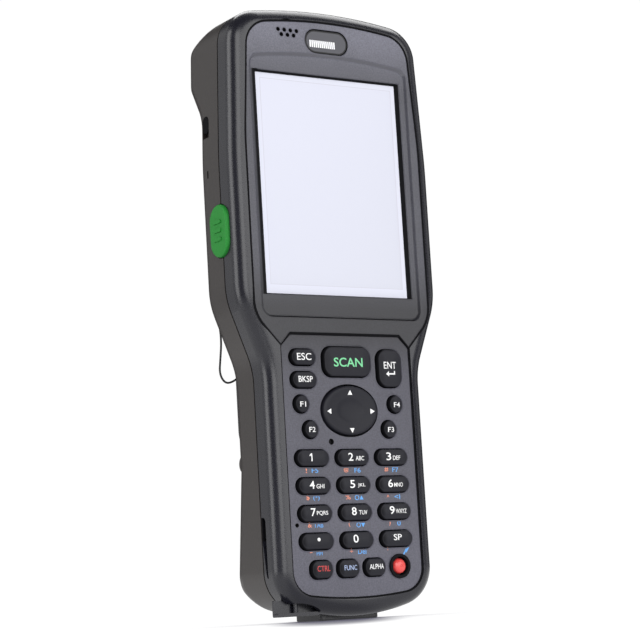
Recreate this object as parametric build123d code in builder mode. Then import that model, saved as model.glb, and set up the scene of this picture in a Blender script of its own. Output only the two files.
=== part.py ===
from build123d import *
import math
import os

os.makedirs("parts", exist_ok=True)

# ------------------------------------------------------------------ driving sizes, millimetres
# x runs to the viewer's right, y runs from the face to the back, z runs up from the foot.
# Depths are measured behind the keypad plate's plane.

# Body outline, seen from the front
HEAD_BEND_Z = 152.0
HEAD_TAPER = 2.2
HEAD_TOP_Z = 200.2
TOP_Z = 203.8
GRIP_HALF = 30.4
FLARE_LOW_Z = 82.0
FLARE_HIGH_Z = 105.0
BOTTOM_Z = 1.1
BOTTOM_CORNER_Z = 7.3
BOTTOM_CORNER_R = 13.0
FLARE_R = 26.0
HEAD_BEND_R = 160.0
HEAD_TOP_R = 12.0
EDGE_R = 5.0
BACK_EDGE_R = 6.5

# Depths of the stack
FACE_D = -1.0
SEAM_D = 9.2
SEAL_T = 0.6
BACK_D = 24.5
HUMP_D = 32.0
BULGE_D = 29.6
WALL = 2.2
FRONT_EXTRA = 1.0
HOLLOW_STEP = 3.0
HOLLOW_STEP_D = 18.0
SKIN_T = 1.6
PLATE_GAP = 0.35

# Side profile of the back, heights
WINDOW_FRONT_D = 13.0
WINDOW_BACK_D = 30.0
WINDOW_BACK_Z = 190.5
HUMP_HIGH_Z = 187.0
HUMP_LOW_Z = 179.0
HUMP_FOOT_Z = 167.0
HUMP_R = 12.0
BULGE_TOP_Z = 50.0
BULGE_LOW_Z = 13.0
BULGE_BOTTOM_D = 20.0
BULGE_R = 6.0

# Face plates
BEZEL_SIDE = 5.0
BEZEL_TAPER = 2.6
BEZEL_TOP_Z = 199.0
BEZEL_TOP_CORNER_Z = 196.2
BEZEL_BEND_Z = 158.0
BEZEL_SIDE_LOW_Z = 99.0
BEZEL_FRONT_D = -0.9
PLATE_BACK_D = 1.8
KEYPLATE_HALF = 25.2
KEYPLATE_TOP_Z = 92.9
KEYPLATE_CHAMFER = 4.0
KEYPLATE_BOTTOM_Z = 6.9
KEYPLATE_BOTTOM_CORNER_Z = 9.2
KEYPLATE_FRONT_D = -0.4
KEYPLATE_T = 1.6
KEYPLATE_CORNER_R = 8.0
BEZEL_NECK_R = 12.0
BEZEL_BEND_R = 140.0
BEZEL_TOP_R = 9.0

# Display
SCREEN_W = 55.5
SCREEN_H = 74.1
SCREEN_Z = 143.5
SLOPE_SIDE = 1.4
SLOPE_TOP = 0.5
DISH_RIM = 1.45
DISH_LOW_Z = 99.0
DISH_HIGH_Z = 185.0
DISH_ARCH = 2.4
DISH_R = 3.0
DISH_DEEP = 1.1
DISH_SLOPE = 35.0
GLASS_MARGIN = 2.2
GLASS_T = 1.1
LCD_T = 3.0
CARRIER_WALL = 1.8
CARRIER_FLOOR = 1.2
FIT = 0.2

# Keys
KEY_FRONT_D = -1.9
KEY_TRAVEL = 0.8
KEY_GAP = 0.3
KEY_FLANGE = 0.6
KEY_FLANGE_T = 0.8
KEY_REST_GAP = 0.1
KEY_EDGE_R = 0.6
DIGIT_W = 12.7
DIGIT_H = 5.2
DIGIT_PITCH_X = 15.5
DIGIT_PITCH_Z = 8.95
DIGIT_TOP_Z = 52.3
KEYPAD_X = -0.35
SIDE_KEY_W = 9.7
SIDE_KEY_X = 17.0
ESC_Z = 85.2
BKSP_Z = 77.8
SCAN_W = 18.7
SCAN_H = 9.8
SCAN_Z = 83.9
ENTER_W = 9.7
ENTER_H = 12.5
ENTER_X = 16.8
ENTER_Z = 81.9
F_R = 2.85
F_OUT_X = 18.4
F_OUT_Z = 69.9
F_IN_X = 15.4
F_IN_Z = 61.6
NAV_W = 21.4
NAV_H = 16.3
NAV_Z = 67.8
NAV_FRONT_D = -1.5
NAV_GAP = 0.6
NAV_FLANGE = 1.1
NAV_FLANGE_T = 0.6
NAV_ROOM = 0.6
PIVOT_R = 1.5
PIVOT_T = 0.4
MODE_W = 8.3
MODE_H = 5.7
MODE_X = -14.3
MODE_PITCH = 10.25
MODE_Z = 16.4
POWER_R = 2.5
POWER_GAP = 0.6
COLLAR_W = 0.9
COLLAR_FRONT_D = -1.2
BIG_KEY_R = 3.4
MODE_FLAT = 0.8
MEMBRANE_T = 0.8
BOARD_T = 1.2
BOARD_HALF = 26.8
KEYBOARD_LOW_Z = 12.0
KEYBOARD_HIGH_Z = 91.0
RIB_W = 1.4
RIB_H = 8.0
MAIN_HALF = 24.0
MAIN_D = 10.5
MAIN_LOW_Z = 56.0
MAIN_HIGH_Z = 184.0
POST_R = 1.6
POST_X = 20.0
POST_Z = (60.0, 150.0)

# Holes and lamp in the upper plate
HOLE_R = 0.7
HOLE_PITCH = 2.4
HOLE_ROW = 1.65
EAR_X = -15.9
EAR_Z = 195.2
LAMP_W = 16.8
LAMP_H = 8.0
LAMP_X = -0.6
LAMP_Z = 192.5
MIC_X = -7.7
MIC_Z = 57.6
MIC_HOLE_R = 1.0
MIC_R = 1.4
MIC_T = 1.5
EAR_R = 5.5
EAR_T = 3.0
EAR_BORE_R = 4.0
SMALL_HOLE_X = -22.6
SMALL_HOLE_Z = 30.8

# Side triggers
TRIGGER_H = 17.5
TRIGGER_W = 11.0
TRIGGER_Z = 127.8
TRIGGER_D = 9.8
TRIGGER_PROUD = 1.2
TRIGGER_TRAVEL = 0.8
TRIGGER_GAP = 0.3
TRIGGER_FLANGE = 0.8
TRIGGER_FLANGE_T = 0.8
TRIGGER_RIB = 0.4
TRIGGER_RIBS = 3
TRIGGER_RIB_L = 4.8
TRIGGER_RIB_W = 1.2
TRIGGER_RIB_PITCH = 2.9
SWITCH_T = 1.6
SWITCH_H = 8.0
SWITCH_D = 4.0
SWITCH_W = 3.0
SWITCH_GAP = 0.75

# Scanner
LENS_W = 34.0
LENS_RUN = 12.0
LENS_T = 1.5
LENS_SINK = 0.4
ENGINE_W = 24.0
ENGINE_T = 13.0
ENGINE_H = 13.0
ENGINE_Z = 172.0
LENS_RIM = 1.0

# Battery and its door
DOOR_W = 42.0
DOOR_H = 25.0
DOOR_T = 2.0
DOOR_GAP = 0.3
PIN_R = 0.8
PIN_FIT = 0.05
KNUCKLE_R = 1.7
PIN_END = 3.0
BATTERY_W = 48.0
BATTERY_T = 10.0
BATTERY_H = 34.0
BATTERY_Z = 18.6
BATTERY_D = 12.0
SHELF_T = 2.4
SHELF_BACK_D = 17.8
DOOR_R = 3.0
DOOR_RIB = 0.4

# Hand strap, stylus and its tether
STRAP_W = 42.0
STRAP_T = 1.6
STRAP_D = 36.0
PAD_T = 2.4
PAD_LOW_Z = 68.0
PAD_HIGH_Z = 116.0
STRAP_HIGH_Z = 134.0
STRAP_LOW_Z = 53.0
STRAP_LEAN = 10.0
STRAP_BEND = 7.0
BAR_R = 1.3
BAR_D = 28.2
BAR_FIT = 0.05
LUG_T = 3.0
LUG_GAP = 0.4
LUG_R = 3.0
STYLUS_X = -10.0
STYLUS_R = 2.4
STYLUS_FIT = 0.1
STYLUS_CAP_R = 3.3
STYLUS_CAP_H = 12.0
STYLUS_TIP = 5.0
SLEEVE_R = 3.5
SLEEVE_BASE = 0.8
SLEEVE_SINK = 0.3
SLEEVE_BASE_W = 8.0
SLEEVE_H = 44.0
SLEEVE_Z = 70.0
CORD_R = 0.35
EYELET_R = 1.6
EYELET_T = 2.0

# Foot with the dock contacts
FOOT_HALF = 20.0
FOOT_FRONT_D = 6.0
FOOT_BACK_D = 22.5
FOOT_LOW_Z = 3.6
FOOT_HIGH_Z = 9.6
FOOT_R = 2.0
PAD_HALF = 11.5
FOOT_FLANGE = 1.0
FOOT_FLANGE_T = 1.3
FOOT_EDGE_R = 0.6
CONTACTS = 8
CONTACT_W = 1.3
CONTACT_L = 7.0
CONTACT_T = 0.6
CONTACT_PITCH = 2.6

# Cradle grooves in the sides, lanyard bar under the corner
GROOVE_HIGH = (7.8, 32.4, 1.6)
GROOVE_LOW = (6.6, 14.8, 0.4)
GROOVE_DEEP = 1.4
LANYARD_LEFT_X = -30.0
LANYARD_RIGHT_X = -14.5
LANYARD_ROOF = ((-31.0, 4.4), (-24.0, 6.1), (-14.5, 3.4))
LANYARD_BACK_D = 4.4
LANYARD_FRONT_D = 2.2
LANYARD_WEB_T = 1.1
LANYARD_LOW_Z = 2.0
LANYARD_T = 1.2
LANYARD_POST_X = -22.7
LANYARD_POST_R = 0.8

# Plug in the side, screws
PLUG_Z = 165.0
PLUG_D = 17.4
PLUG_W = 3.8
PLUG_H = 5.6
PLUG_T = 1.2
PLUG_GAP = 0.25
VENT_Z = 148.0
VENT_D = 16.5
VENT_H = 2.6
VENT_W = 0.9
VENT_DEEP = 1.2
SCREW_R = 1.9
SCREW_T = 1.5
SHANK_R = 1.0
SHANK_L = 17.0
SCREW_FIT = 0.1
BOSS_R = 2.9
SCREW_X = 28.0
SCREW_Z = 96.5

# Widths that follow from what the head holds between its two triggers
CARRIER_HALF = SCREEN_W / 2 + GLASS_MARGIN + FIT + CARRIER_WALL
TRIGGER_INSIDE = WALL + FRONT_EXTRA + KEY_REST_GAP + TRIGGER_FLANGE_T
HEAD_HALF = CARRIER_HALF + SWITCH_T + SWITCH_GAP + TRIGGER_TRAVEL + TRIGGER_INSIDE
HEAD_TOP_HALF = HEAD_HALF - HEAD_TAPER
BEZEL_HALF = HEAD_HALF - BEZEL_SIDE
BEZEL_TOP_HALF = BEZEL_HALF - BEZEL_TAPER
DISH_HALF = SCREEN_W / 2 + SLOPE_SIDE + DISH_RIM

# Everything sits about the middle of its own depth.
STRAP_OUT_D = STRAP_D + STRAP_T / 2
SLEEVE_D = STRAP_OUT_D + SLEEVE_BASE - SLEEVE_SINK + SLEEVE_R
REAR_MOST_D = SLEEVE_D + SLEEVE_R
PLATE_Y = -(REAR_MOST_D + KEY_FRONT_D) / 2


def y_at(depth):
    """The y of a depth behind the keypad plate's plane."""
    return PLATE_Y + depth


def facing(depth):
    """A sketch plane seen from the front at a depth; extruding goes towards the face."""
    return Plane.XZ.offset(-y_at(depth))


def slab(shape, front, back, mode=Mode.ADD, inset=0.0):
    """Extrudes a flat front-view shape between two depths."""
    with BuildSketch(facing(back)) as section:
        add(shape)
        if inset:
            offset(amount=-inset)
    extrude(section.sketch, amount=back - front, mode=mode)


def finish(piece, name, colour):
    """Labels a finished piece and writes it."""
    piece.part.label = name
    piece.part.color = Color(*colour)
    export_step(piece.part, "parts/" + name + ".step")


# ------------------------------------------------------------------ front-view outlines
def corner_fillet(sketch, height, radius):
    """Rounds the corners of a symmetric outline that stand at one height."""
    fillet([v for v in sketch.vertices() if abs(v.Y - height) < 0.01], radius)


with BuildSketch() as body_outline:
    with BuildLine():
        ThreePointArc((-GRIP_HALF, BOTTOM_CORNER_Z), (0, BOTTOM_Z), (GRIP_HALF, BOTTOM_CORNER_Z))
        right_side = Polyline(
            (GRIP_HALF, BOTTOM_CORNER_Z),
            (GRIP_HALF, FLARE_LOW_Z),
            (HEAD_HALF, FLARE_HIGH_Z),
            (HEAD_HALF, HEAD_BEND_Z),
            (HEAD_TOP_HALF, HEAD_TOP_Z),
        )
        mirror(right_side, about=Plane.YZ)
        ThreePointArc((-HEAD_TOP_HALF, HEAD_TOP_Z), (0, TOP_Z), (HEAD_TOP_HALF, HEAD_TOP_Z))
    make_face()
    corner_fillet(body_outline, BOTTOM_CORNER_Z, BOTTOM_CORNER_R)
    corner_fillet(body_outline, FLARE_LOW_Z, FLARE_R)
    corner_fillet(body_outline, FLARE_HIGH_Z, FLARE_R)
    corner_fillet(body_outline, HEAD_BEND_Z, HEAD_BEND_R)
    corner_fillet(body_outline, HEAD_TOP_Z, HEAD_TOP_R)

with BuildSketch() as bezel_outline:
    tip_half = KEYPLATE_HALF
    tip_z = KEYPLATE_TOP_Z - KEYPLATE_CHAMFER + PLATE_GAP
    base_half = KEYPLATE_HALF - KEYPLATE_CHAMFER + PLATE_GAP
    base_z = KEYPLATE_TOP_Z + PLATE_GAP
    with BuildLine():
        Line((-base_half, base_z), (base_half, base_z))
        right_side = Polyline(
            (base_half, base_z),
            (tip_half, tip_z),
            (BEZEL_HALF, BEZEL_SIDE_LOW_Z),
            (BEZEL_HALF, BEZEL_BEND_Z),
            (BEZEL_TOP_HALF, BEZEL_TOP_CORNER_Z),
        )
        mirror(right_side, about=Plane.YZ)
        ThreePointArc(
            (-BEZEL_TOP_HALF, BEZEL_TOP_CORNER_Z),
            (0, BEZEL_TOP_Z),
            (BEZEL_TOP_HALF, BEZEL_TOP_CORNER_Z),
        )
    make_face()
    corner_fillet(bezel_outline, BEZEL_SIDE_LOW_Z, BEZEL_NECK_R)
    corner_fillet(bezel_outline, BEZEL_BEND_Z, BEZEL_BEND_R)
    corner_fillet(bezel_outline, BEZEL_TOP_CORNER_Z, BEZEL_TOP_R)

with BuildSketch() as keyplate_outline:
    with BuildLine():
        ThreePointArc(
            (-KEYPLATE_HALF, KEYPLATE_BOTTOM_CORNER_Z),
            (0, KEYPLATE_BOTTOM_Z),
            (KEYPLATE_HALF, KEYPLATE_BOTTOM_CORNER_Z),
        )
        right_side = Polyline(
            (KEYPLATE_HALF, KEYPLATE_BOTTOM_CORNER_Z),
            (KEYPLATE_HALF, KEYPLATE_TOP_Z - KEYPLATE_CHAMFER),
            (KEYPLATE_HALF - KEYPLATE_CHAMFER, KEYPLATE_TOP_Z),
        )
        mirror(right_side, about=Plane.YZ)
        Line(
            (-KEYPLATE_HALF + KEYPLATE_CHAMFER, KEYPLATE_TOP_Z),
            (KEYPLATE_HALF - KEYPLATE_CHAMFER, KEYPLATE_TOP_Z),
        )
    make_face()
    corner_fillet(keyplate_outline, KEYPLATE_BOTTOM_CORNER_Z, KEYPLATE_CORNER_R)

# ------------------------------------------------------------------ side profile of the back
OUTSIDE = 6.0

bulge_slope = (BULGE_D - BACK_D) / (BULGE_TOP_Z - BULGE_LOW_Z)
bulge_end_d = BULGE_D + bulge_slope * (BULGE_LOW_Z + OUTSIDE)

with BuildSketch() as back_profile:
    with BuildLine():
        Polyline(
            (y_at(SEAM_D), TOP_Z + OUTSIDE),
            (y_at(HUMP_D), TOP_Z + OUTSIDE),
            (y_at(HUMP_D), HUMP_LOW_Z),
            (y_at(BACK_D), HUMP_FOOT_Z),
            (y_at(BACK_D), BULGE_TOP_Z),
            (y_at(bulge_end_d), -OUTSIDE),
            (y_at(SEAM_D), -OUTSIDE),
            close=True,
        )
    make_face()
    corner_fillet(back_profile, HUMP_LOW_Z, HUMP_R / 2)
    corner_fillet(back_profile, HUMP_FOOT_Z, HUMP_R)

with BuildSketch() as below_bulge:
    with BuildLine():
        Polyline(
            (y_at(BULGE_D) + OUTSIDE, BULGE_LOW_Z),
            (y_at(BULGE_D), BULGE_LOW_Z),
            (y_at(BULGE_BOTTOM_D), 0),
            (y_at(BULGE_BOTTOM_D), -2 * OUTSIDE),
            (y_at(BULGE_D) + OUTSIDE, -2 * OUTSIDE),
            close=True,
        )
    make_face()

with BuildSketch() as above_window:
    with BuildLine():
        Polyline(
            (y_at(WINDOW_FRONT_D), TOP_Z + 2 * OUTSIDE),
            (y_at(WINDOW_FRONT_D), TOP_Z),
            (y_at(WINDOW_BACK_D), WINDOW_BACK_Z),
            (y_at(HUMP_D), HUMP_HIGH_Z),
            (y_at(HUMP_D) + OUTSIDE, HUMP_HIGH_Z),
            (y_at(HUMP_D) + OUTSIDE, TOP_Z + 2 * OUTSIDE),
            close=True,
        )
    make_face()

# The slanted back of the bulge carries the battery door. Its plane's y runs up the slope.
door_tilt = math.atan2(BULGE_D - BACK_D, BULGE_TOP_Z - BULGE_LOW_Z)
door_mid = (y_at((BACK_D + BULGE_D) / 2), (BULGE_TOP_Z + BULGE_LOW_Z) / 2)
door_plane = Plane(
    origin=(0, *door_mid), x_dir=(-1, 0, 0), z_dir=(0, math.cos(door_tilt), math.sin(door_tilt))
)
# The sloping top carries the scanner's window. Its plane's y runs up towards the face.
lens_mid = (y_at((WINDOW_FRONT_D + WINDOW_BACK_D) / 2), (TOP_Z + WINDOW_BACK_Z) / 2)
lens_tilt = math.atan2(TOP_Z - WINDOW_BACK_Z, WINDOW_BACK_D - WINDOW_FRONT_D)
lens_plane = Plane(
    origin=(0, *lens_mid), x_dir=(-1, 0, 0), z_dir=(0, math.sin(lens_tilt), math.cos(lens_tilt))
)


hinge_plane = Plane(
    origin=door_plane.from_local_coords(Vector(0, -DOOR_H / 2, -KNUCKLE_R)),
    x_dir=(0, 1, 0),
    z_dir=(1, 0, 0),
)


def back_side_edges(piece):
    """The edges where the back meets the sides, from the underside over the top of the head."""
    behind = y_at(SEAM_D) + WALL
    picked = [e for e in piece.edges() if e.center().Y > behind]
    picked = [e for e in picked if abs(e.center().X) > WALL or not 0 < e.center().Z < HUMP_HIGH_Z]
    return [e for e in picked if abs((e @ 0.5 - e @ 0.499).normalized().Y) < 0.9]


def cut_across(profile, grow=0.0):
    """Cuts a side-view shape right across the piece."""
    with BuildSketch(Plane.YZ) as side_view:
        add(profile)
        if grow:
            offset(amount=grow, kind=Kind.INTERSECTION)
    extrude(side_view.sketch, amount=HEAD_HALF + OUTSIDE, both=True, mode=Mode.SUBTRACT)


with BuildPart() as rear_hollow:
    slab(body_outline.sketch, SEAM_D, HOLLOW_STEP_D, inset=WALL)
    slab(body_outline.sketch, HOLLOW_STEP_D, HUMP_D, inset=WALL + HOLLOW_STEP)
    with BuildSketch(Plane.YZ):
        add(back_profile.sketch)
        offset(amount=-WALL)
        with Locations((y_at(SEAM_D) + WALL / 2, TOP_Z / 2)):
            Rectangle(WALL * 3, TOP_Z + 2 * OUTSIDE)
    extrude(amount=HEAD_HALF + OUTSIDE, both=True, mode=Mode.INTERSECT)
    cut_across(above_window.sketch, WALL)
    cut_across(below_bulge.sketch, WALL)


# ------------------------------------------------------------------ small shared shapes
def slot_shape(width, height):
    """An obround lying down or standing up, whichever side is longer."""
    with BuildSketch() as shape:
        if width > height:
            SlotOverall(width, height)
        elif height > width:
            SlotOverall(height, width, rotation=90)
        else:
            Circle(width / 2)
    return shape.sketch


def grown(shape, amount):
    """A flat shape made larger all round."""
    with BuildSketch() as larger:
        add(shape)
        offset(amount=amount)
    return larger.sketch


def placed(shape, x, z):
    """A flat shape moved to its place in the front view."""
    return shape.moved(Location((x, z, 0)))


def rounded_box(width, height, radius):
    """A rounded rectangle."""
    with BuildSketch() as shape:
        RectangleRounded(width, height, radius)
    return shape.sketch


def nav_shape(margin=0.0):
    """The direction pad's ellipse, with a margin all round."""
    with BuildSketch() as shape:
        Ellipse(NAV_W / 2 + margin, NAV_H / 2 + margin)
    return shape.sketch


# ------------------------------------------------------------------ the keys' names, shapes and places
digit = slot_shape(DIGIT_W, DIGIT_H)
side_key = slot_shape(SIDE_KEY_W, DIGIT_H)
mode_key = rounded_box(MODE_W, MODE_H, (MODE_H - MODE_FLAT) / 2)
keys = {
    "key_esc": (side_key, -SIDE_KEY_X, ESC_Z),
    "key_bksp": (side_key, -SIDE_KEY_X, BKSP_Z),
    "key_scan": (rounded_box(SCAN_W, SCAN_H, BIG_KEY_R), 0, SCAN_Z),
    "key_enter": (rounded_box(ENTER_W, ENTER_H, BIG_KEY_R), ENTER_X, ENTER_Z),
    "key_f1": (slot_shape(2 * F_R, 2 * F_R), -F_OUT_X, F_OUT_Z),
    "key_f2": (slot_shape(2 * F_R, 2 * F_R), -F_IN_X, F_IN_Z),
    "key_f3": (slot_shape(2 * F_R, 2 * F_R), F_IN_X, F_IN_Z),
    "key_f4": (slot_shape(2 * F_R, 2 * F_R), F_OUT_X, F_OUT_Z),
}
digit_names = ("1", "2", "3", "4", "5", "6", "7", "8", "9", "point", "0", "space")
for number, digit_name in enumerate(digit_names):
    digit_x = (number % 3 - 1) * DIGIT_PITCH_X
    digit_z = DIGIT_TOP_Z - number // 3 * DIGIT_PITCH_Z
    keys["key_" + digit_name] = (digit, digit_x, digit_z)
for number, mode_name in enumerate(("ctrl", "func", "alpha")):
    keys["key_" + mode_name] = (mode_key, MODE_X + number * MODE_PITCH, MODE_Z)
keys["key_power"] = (slot_shape(2 * POWER_R, 2 * POWER_R), MODE_X + 3 * MODE_PITCH, MODE_Z)
keys = {key_name: (shape, x + KEYPAD_X, z) for key_name, (shape, x, z) in keys.items()}
power_x = keys["key_power"][1]

SHELL = (0.17, 0.17, 0.19)
DARK = (0.08, 0.08, 0.09)
PLATE = (0.38, 0.38, 0.42)
GREEN = (0.1, 0.5, 0.2)
METAL = (0.6, 0.6, 0.6)
BOARD = (0.1, 0.35, 0.2)

keyplate_back_d = KEYPLATE_FRONT_D + KEYPLATE_T
skin_back_d = keyplate_back_d + SKIN_T
ledge_back_d = PLATE_BACK_D + SKIN_T
flange_d = skin_back_d + KEY_REST_GAP
membrane_d = flange_d + KEY_FLANGE_T + KEY_TRAVEL + KEY_REST_GAP
keyboard_d = membrane_d + MEMBRANE_T
glass = (SCREEN_W + 2 * GLASS_MARGIN, SCREEN_H + 2 * GLASS_MARGIN)
lamp_shape = placed(slot_shape(LAMP_W, LAMP_H), LAMP_X, LAMP_Z)
foot_mid_d = (FOOT_FRONT_D + FOOT_BACK_D) / 2
foot_depth = FOOT_BACK_D - FOOT_FRONT_D

# ------------------------------------------------------------------ cutters that two shells share
with BuildPart() as foot_cut:
    with BuildSketch(Plane.XY.offset(-OUTSIDE)):
        with Locations((0, y_at(foot_mid_d))):
            RectangleRounded(2 * FOOT_HALF + 2 * FIT, foot_depth + 2 * FIT, FOOT_R + FIT)
    extrude(amount=OUTSIDE + FOOT_HIGH_Z)
    flange_grow = 2 * (FOOT_FLANGE + FIT)
    with BuildSketch(Plane.XY.offset(FOOT_HIGH_Z - FOOT_FLANGE_T - FIT)):
        with Locations((0, y_at(foot_mid_d))):
            RectangleRounded(2 * FOOT_HALF + flange_grow, foot_depth + flange_grow, FOOT_R)
    extrude(amount=FOOT_FLANGE_T + 2 * FIT)

with BuildPart() as trigger_cut:
    for side in (-1, 1):
        with BuildSketch(Plane.YZ.offset(side * (HEAD_HALF + OUTSIDE))):
            with Locations((y_at(TRIGGER_D), TRIGGER_Z)):
                SlotOverall(TRIGGER_H + 2 * TRIGGER_GAP, TRIGGER_W + 2 * TRIGGER_GAP, rotation=90)
        extrude(amount=-side * (OUTSIDE + WALL + 2 * TRIGGER_PROUD))

with BuildPart() as groove_cut:
    for side in (-1, 1):
        with BuildSketch(Plane.YZ.offset(side * (GRIP_HALF + OUTSIDE))) as groove:
            for depth, z, radius in (GROOVE_HIGH, GROOVE_LOW):
                with Locations((y_at(depth), z)):
                    Circle(radius)
            make_hull()
        extrude(groove.sketch, amount=-side * (OUTSIDE + GROOVE_DEEP))

with BuildPart() as lanyard_cut:
    with BuildSketch(facing(LANYARD_BACK_D)):
        with BuildLine():
            ThreePointArc(*LANYARD_ROOF)
            Polyline(
                LANYARD_ROOF[-1],
                (LANYARD_ROOF[-1][0], -OUTSIDE),
                (LANYARD_ROOF[0][0], -OUTSIDE),
                LANYARD_ROOF[0],
            )
        make_face()
    extrude(amount=LANYARD_BACK_D + OUTSIDE)

with BuildPart() as screw_cut:
    for x in (-SCREW_X, SCREW_X):
        head = placed(slot_shape(2 * (SCREW_R + SCREW_FIT), 2 * (SCREW_R + SCREW_FIT)), x, SCREW_Z)
        shank = placed(slot_shape(2 * (SHANK_R + SCREW_FIT), 2 * (SHANK_R + SCREW_FIT)), x, SCREW_Z)
        slab(head, BACK_D - SCREW_T, BACK_D + 1)
        slab(shank, BACK_D - SCREW_T - SHANK_L, BACK_D - SCREW_T)

plug_x = HEAD_HALF - (PLUG_Z - HEAD_BEND_Z) * (HEAD_HALF - HEAD_TOP_HALF) / (HEAD_TOP_Z - HEAD_BEND_Z)
with BuildPart() as plug_cut:
    with BuildSketch(Plane.YZ.offset(-plug_x - OUTSIDE)) as plug_recess:
        with Locations((y_at(PLUG_D), PLUG_Z)):
            SlotOverall(PLUG_H + 2 * PLUG_GAP, PLUG_W + 2 * PLUG_GAP, rotation=90)
    extrude(plug_recess.sketch, amount=OUTSIDE + PLUG_T + PLUG_GAP)
    with BuildSketch(Plane.XZ.offset(-y_at(PLUG_D))) as hinge_room:
        with Locations((-plug_x, PLUG_Z - PLUG_H / 2)):
            Circle(PLUG_T + 2 * PLUG_GAP)
    extrude(hinge_room.sketch, amount=PLUG_W / 2 + PLUG_GAP, both=True)
    with BuildSketch(Plane.YZ.offset(-HEAD_HALF - OUTSIDE)) as vent:
        with Locations((y_at(VENT_D), VENT_Z)):
            SlotOverall(VENT_H, VENT_W, rotation=90)
    extrude(vent.sketch, amount=OUTSIDE + VENT_DEEP)

# ------------------------------------------------------------------ front housing
with BuildPart() as front_housing:
    slab(body_outline.sketch, FACE_D, SEAM_D - SEAL_T)
    fillet(front_housing.faces().sort_by(Axis.Y)[0].edges(), EDGE_R)
    slab(body_outline.sketch, ledge_back_d, SEAM_D, Mode.SUBTRACT, inset=WALL + FRONT_EXTRA)
    slab(grown(bezel_outline.sketch, PLATE_GAP), FACE_D - 1, PLATE_BACK_D, Mode.SUBTRACT)
    slab(grown(keyplate_outline.sketch, PLATE_GAP), FACE_D - 1, keyplate_back_d, Mode.SUBTRACT)
    display_hole = rounded_box(glass[0] + 2 * FIT, glass[1] + 2 * FIT, 1)
    slab(placed(display_hole, 0, SCREEN_Z), FACE_D, SEAM_D, Mode.SUBTRACT)
    for shape, x, z in keys.values():
        slab(placed(grown(shape, KEY_GAP), x, z), FACE_D, skin_back_d + 1, Mode.SUBTRACT)
    slab(placed(nav_shape(NAV_GAP), 0, NAV_Z), FACE_D, skin_back_d + 1, Mode.SUBTRACT)
    slab(keyplate_outline.sketch, skin_back_d, SEAM_D, Mode.SUBTRACT)
    for x, z, radius in ((EAR_X, EAR_Z, EAR_BORE_R), (MIC_X, MIC_Z, MIC_HOLE_R)):
        slab(placed(slot_shape(2 * radius, 2 * radius), x, z), FACE_D, ledge_back_d, Mode.SUBTRACT)
    rib = rounded_box(RIB_W, RIB_H, RIB_W / 3)
    for x in (-BOARD_HALF, BOARD_HALF):
        for z in (KEYBOARD_LOW_Z + 3 * RIB_H, KEYBOARD_HIGH_Z - 3 * RIB_H):
            slab(placed(rib, x, z), ledge_back_d - 1, keyboard_d)
    for x in (-SCREW_X, SCREW_X):
        slab(placed(slot_shape(2 * BOSS_R, 2 * BOSS_R), x, SCREW_Z), ledge_back_d - 1, SEAM_D)
    add(screw_cut.part, mode=Mode.SUBTRACT)
    add(foot_cut.part, mode=Mode.SUBTRACT)
    add(trigger_cut.part, mode=Mode.SUBTRACT)
    add(groove_cut.part, mode=Mode.SUBTRACT)
    # The lanyard's recess under the left corner, with its bar and post
    add(lanyard_cut.part, mode=Mode.SUBTRACT)
    lanyard_w = LANYARD_RIGHT_X - LANYARD_LEFT_X
    lanyard_x = (LANYARD_RIGHT_X + LANYARD_LEFT_X) / 2
    bar_shape = rounded_box(lanyard_w, LANYARD_T, LANYARD_T / 3)
    bar_z = LANYARD_LOW_Z + LANYARD_T / 2
    slab(placed(bar_shape, lanyard_x, bar_z), LANYARD_FRONT_D, LANYARD_BACK_D + LANYARD_WEB_T)
    web_h = BOTTOM_CORNER_Z - LANYARD_LOW_Z
    web = placed(rounded_box(lanyard_w, web_h, LANYARD_T / 3), lanyard_x, LANYARD_LOW_Z + web_h / 2)
    slab(web, LANYARD_BACK_D, LANYARD_BACK_D + LANYARD_WEB_T)
    with BuildSketch(Plane.XY.offset(LANYARD_LOW_Z + LANYARD_T / 2)) as post:
        with Locations((LANYARD_POST_X, y_at((LANYARD_FRONT_D + LANYARD_BACK_D) / 2))):
            Circle(LANYARD_POST_R)
    extrude(post.sketch, amount=web_h)
finish(front_housing, "front_housing", SHELL)

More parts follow.
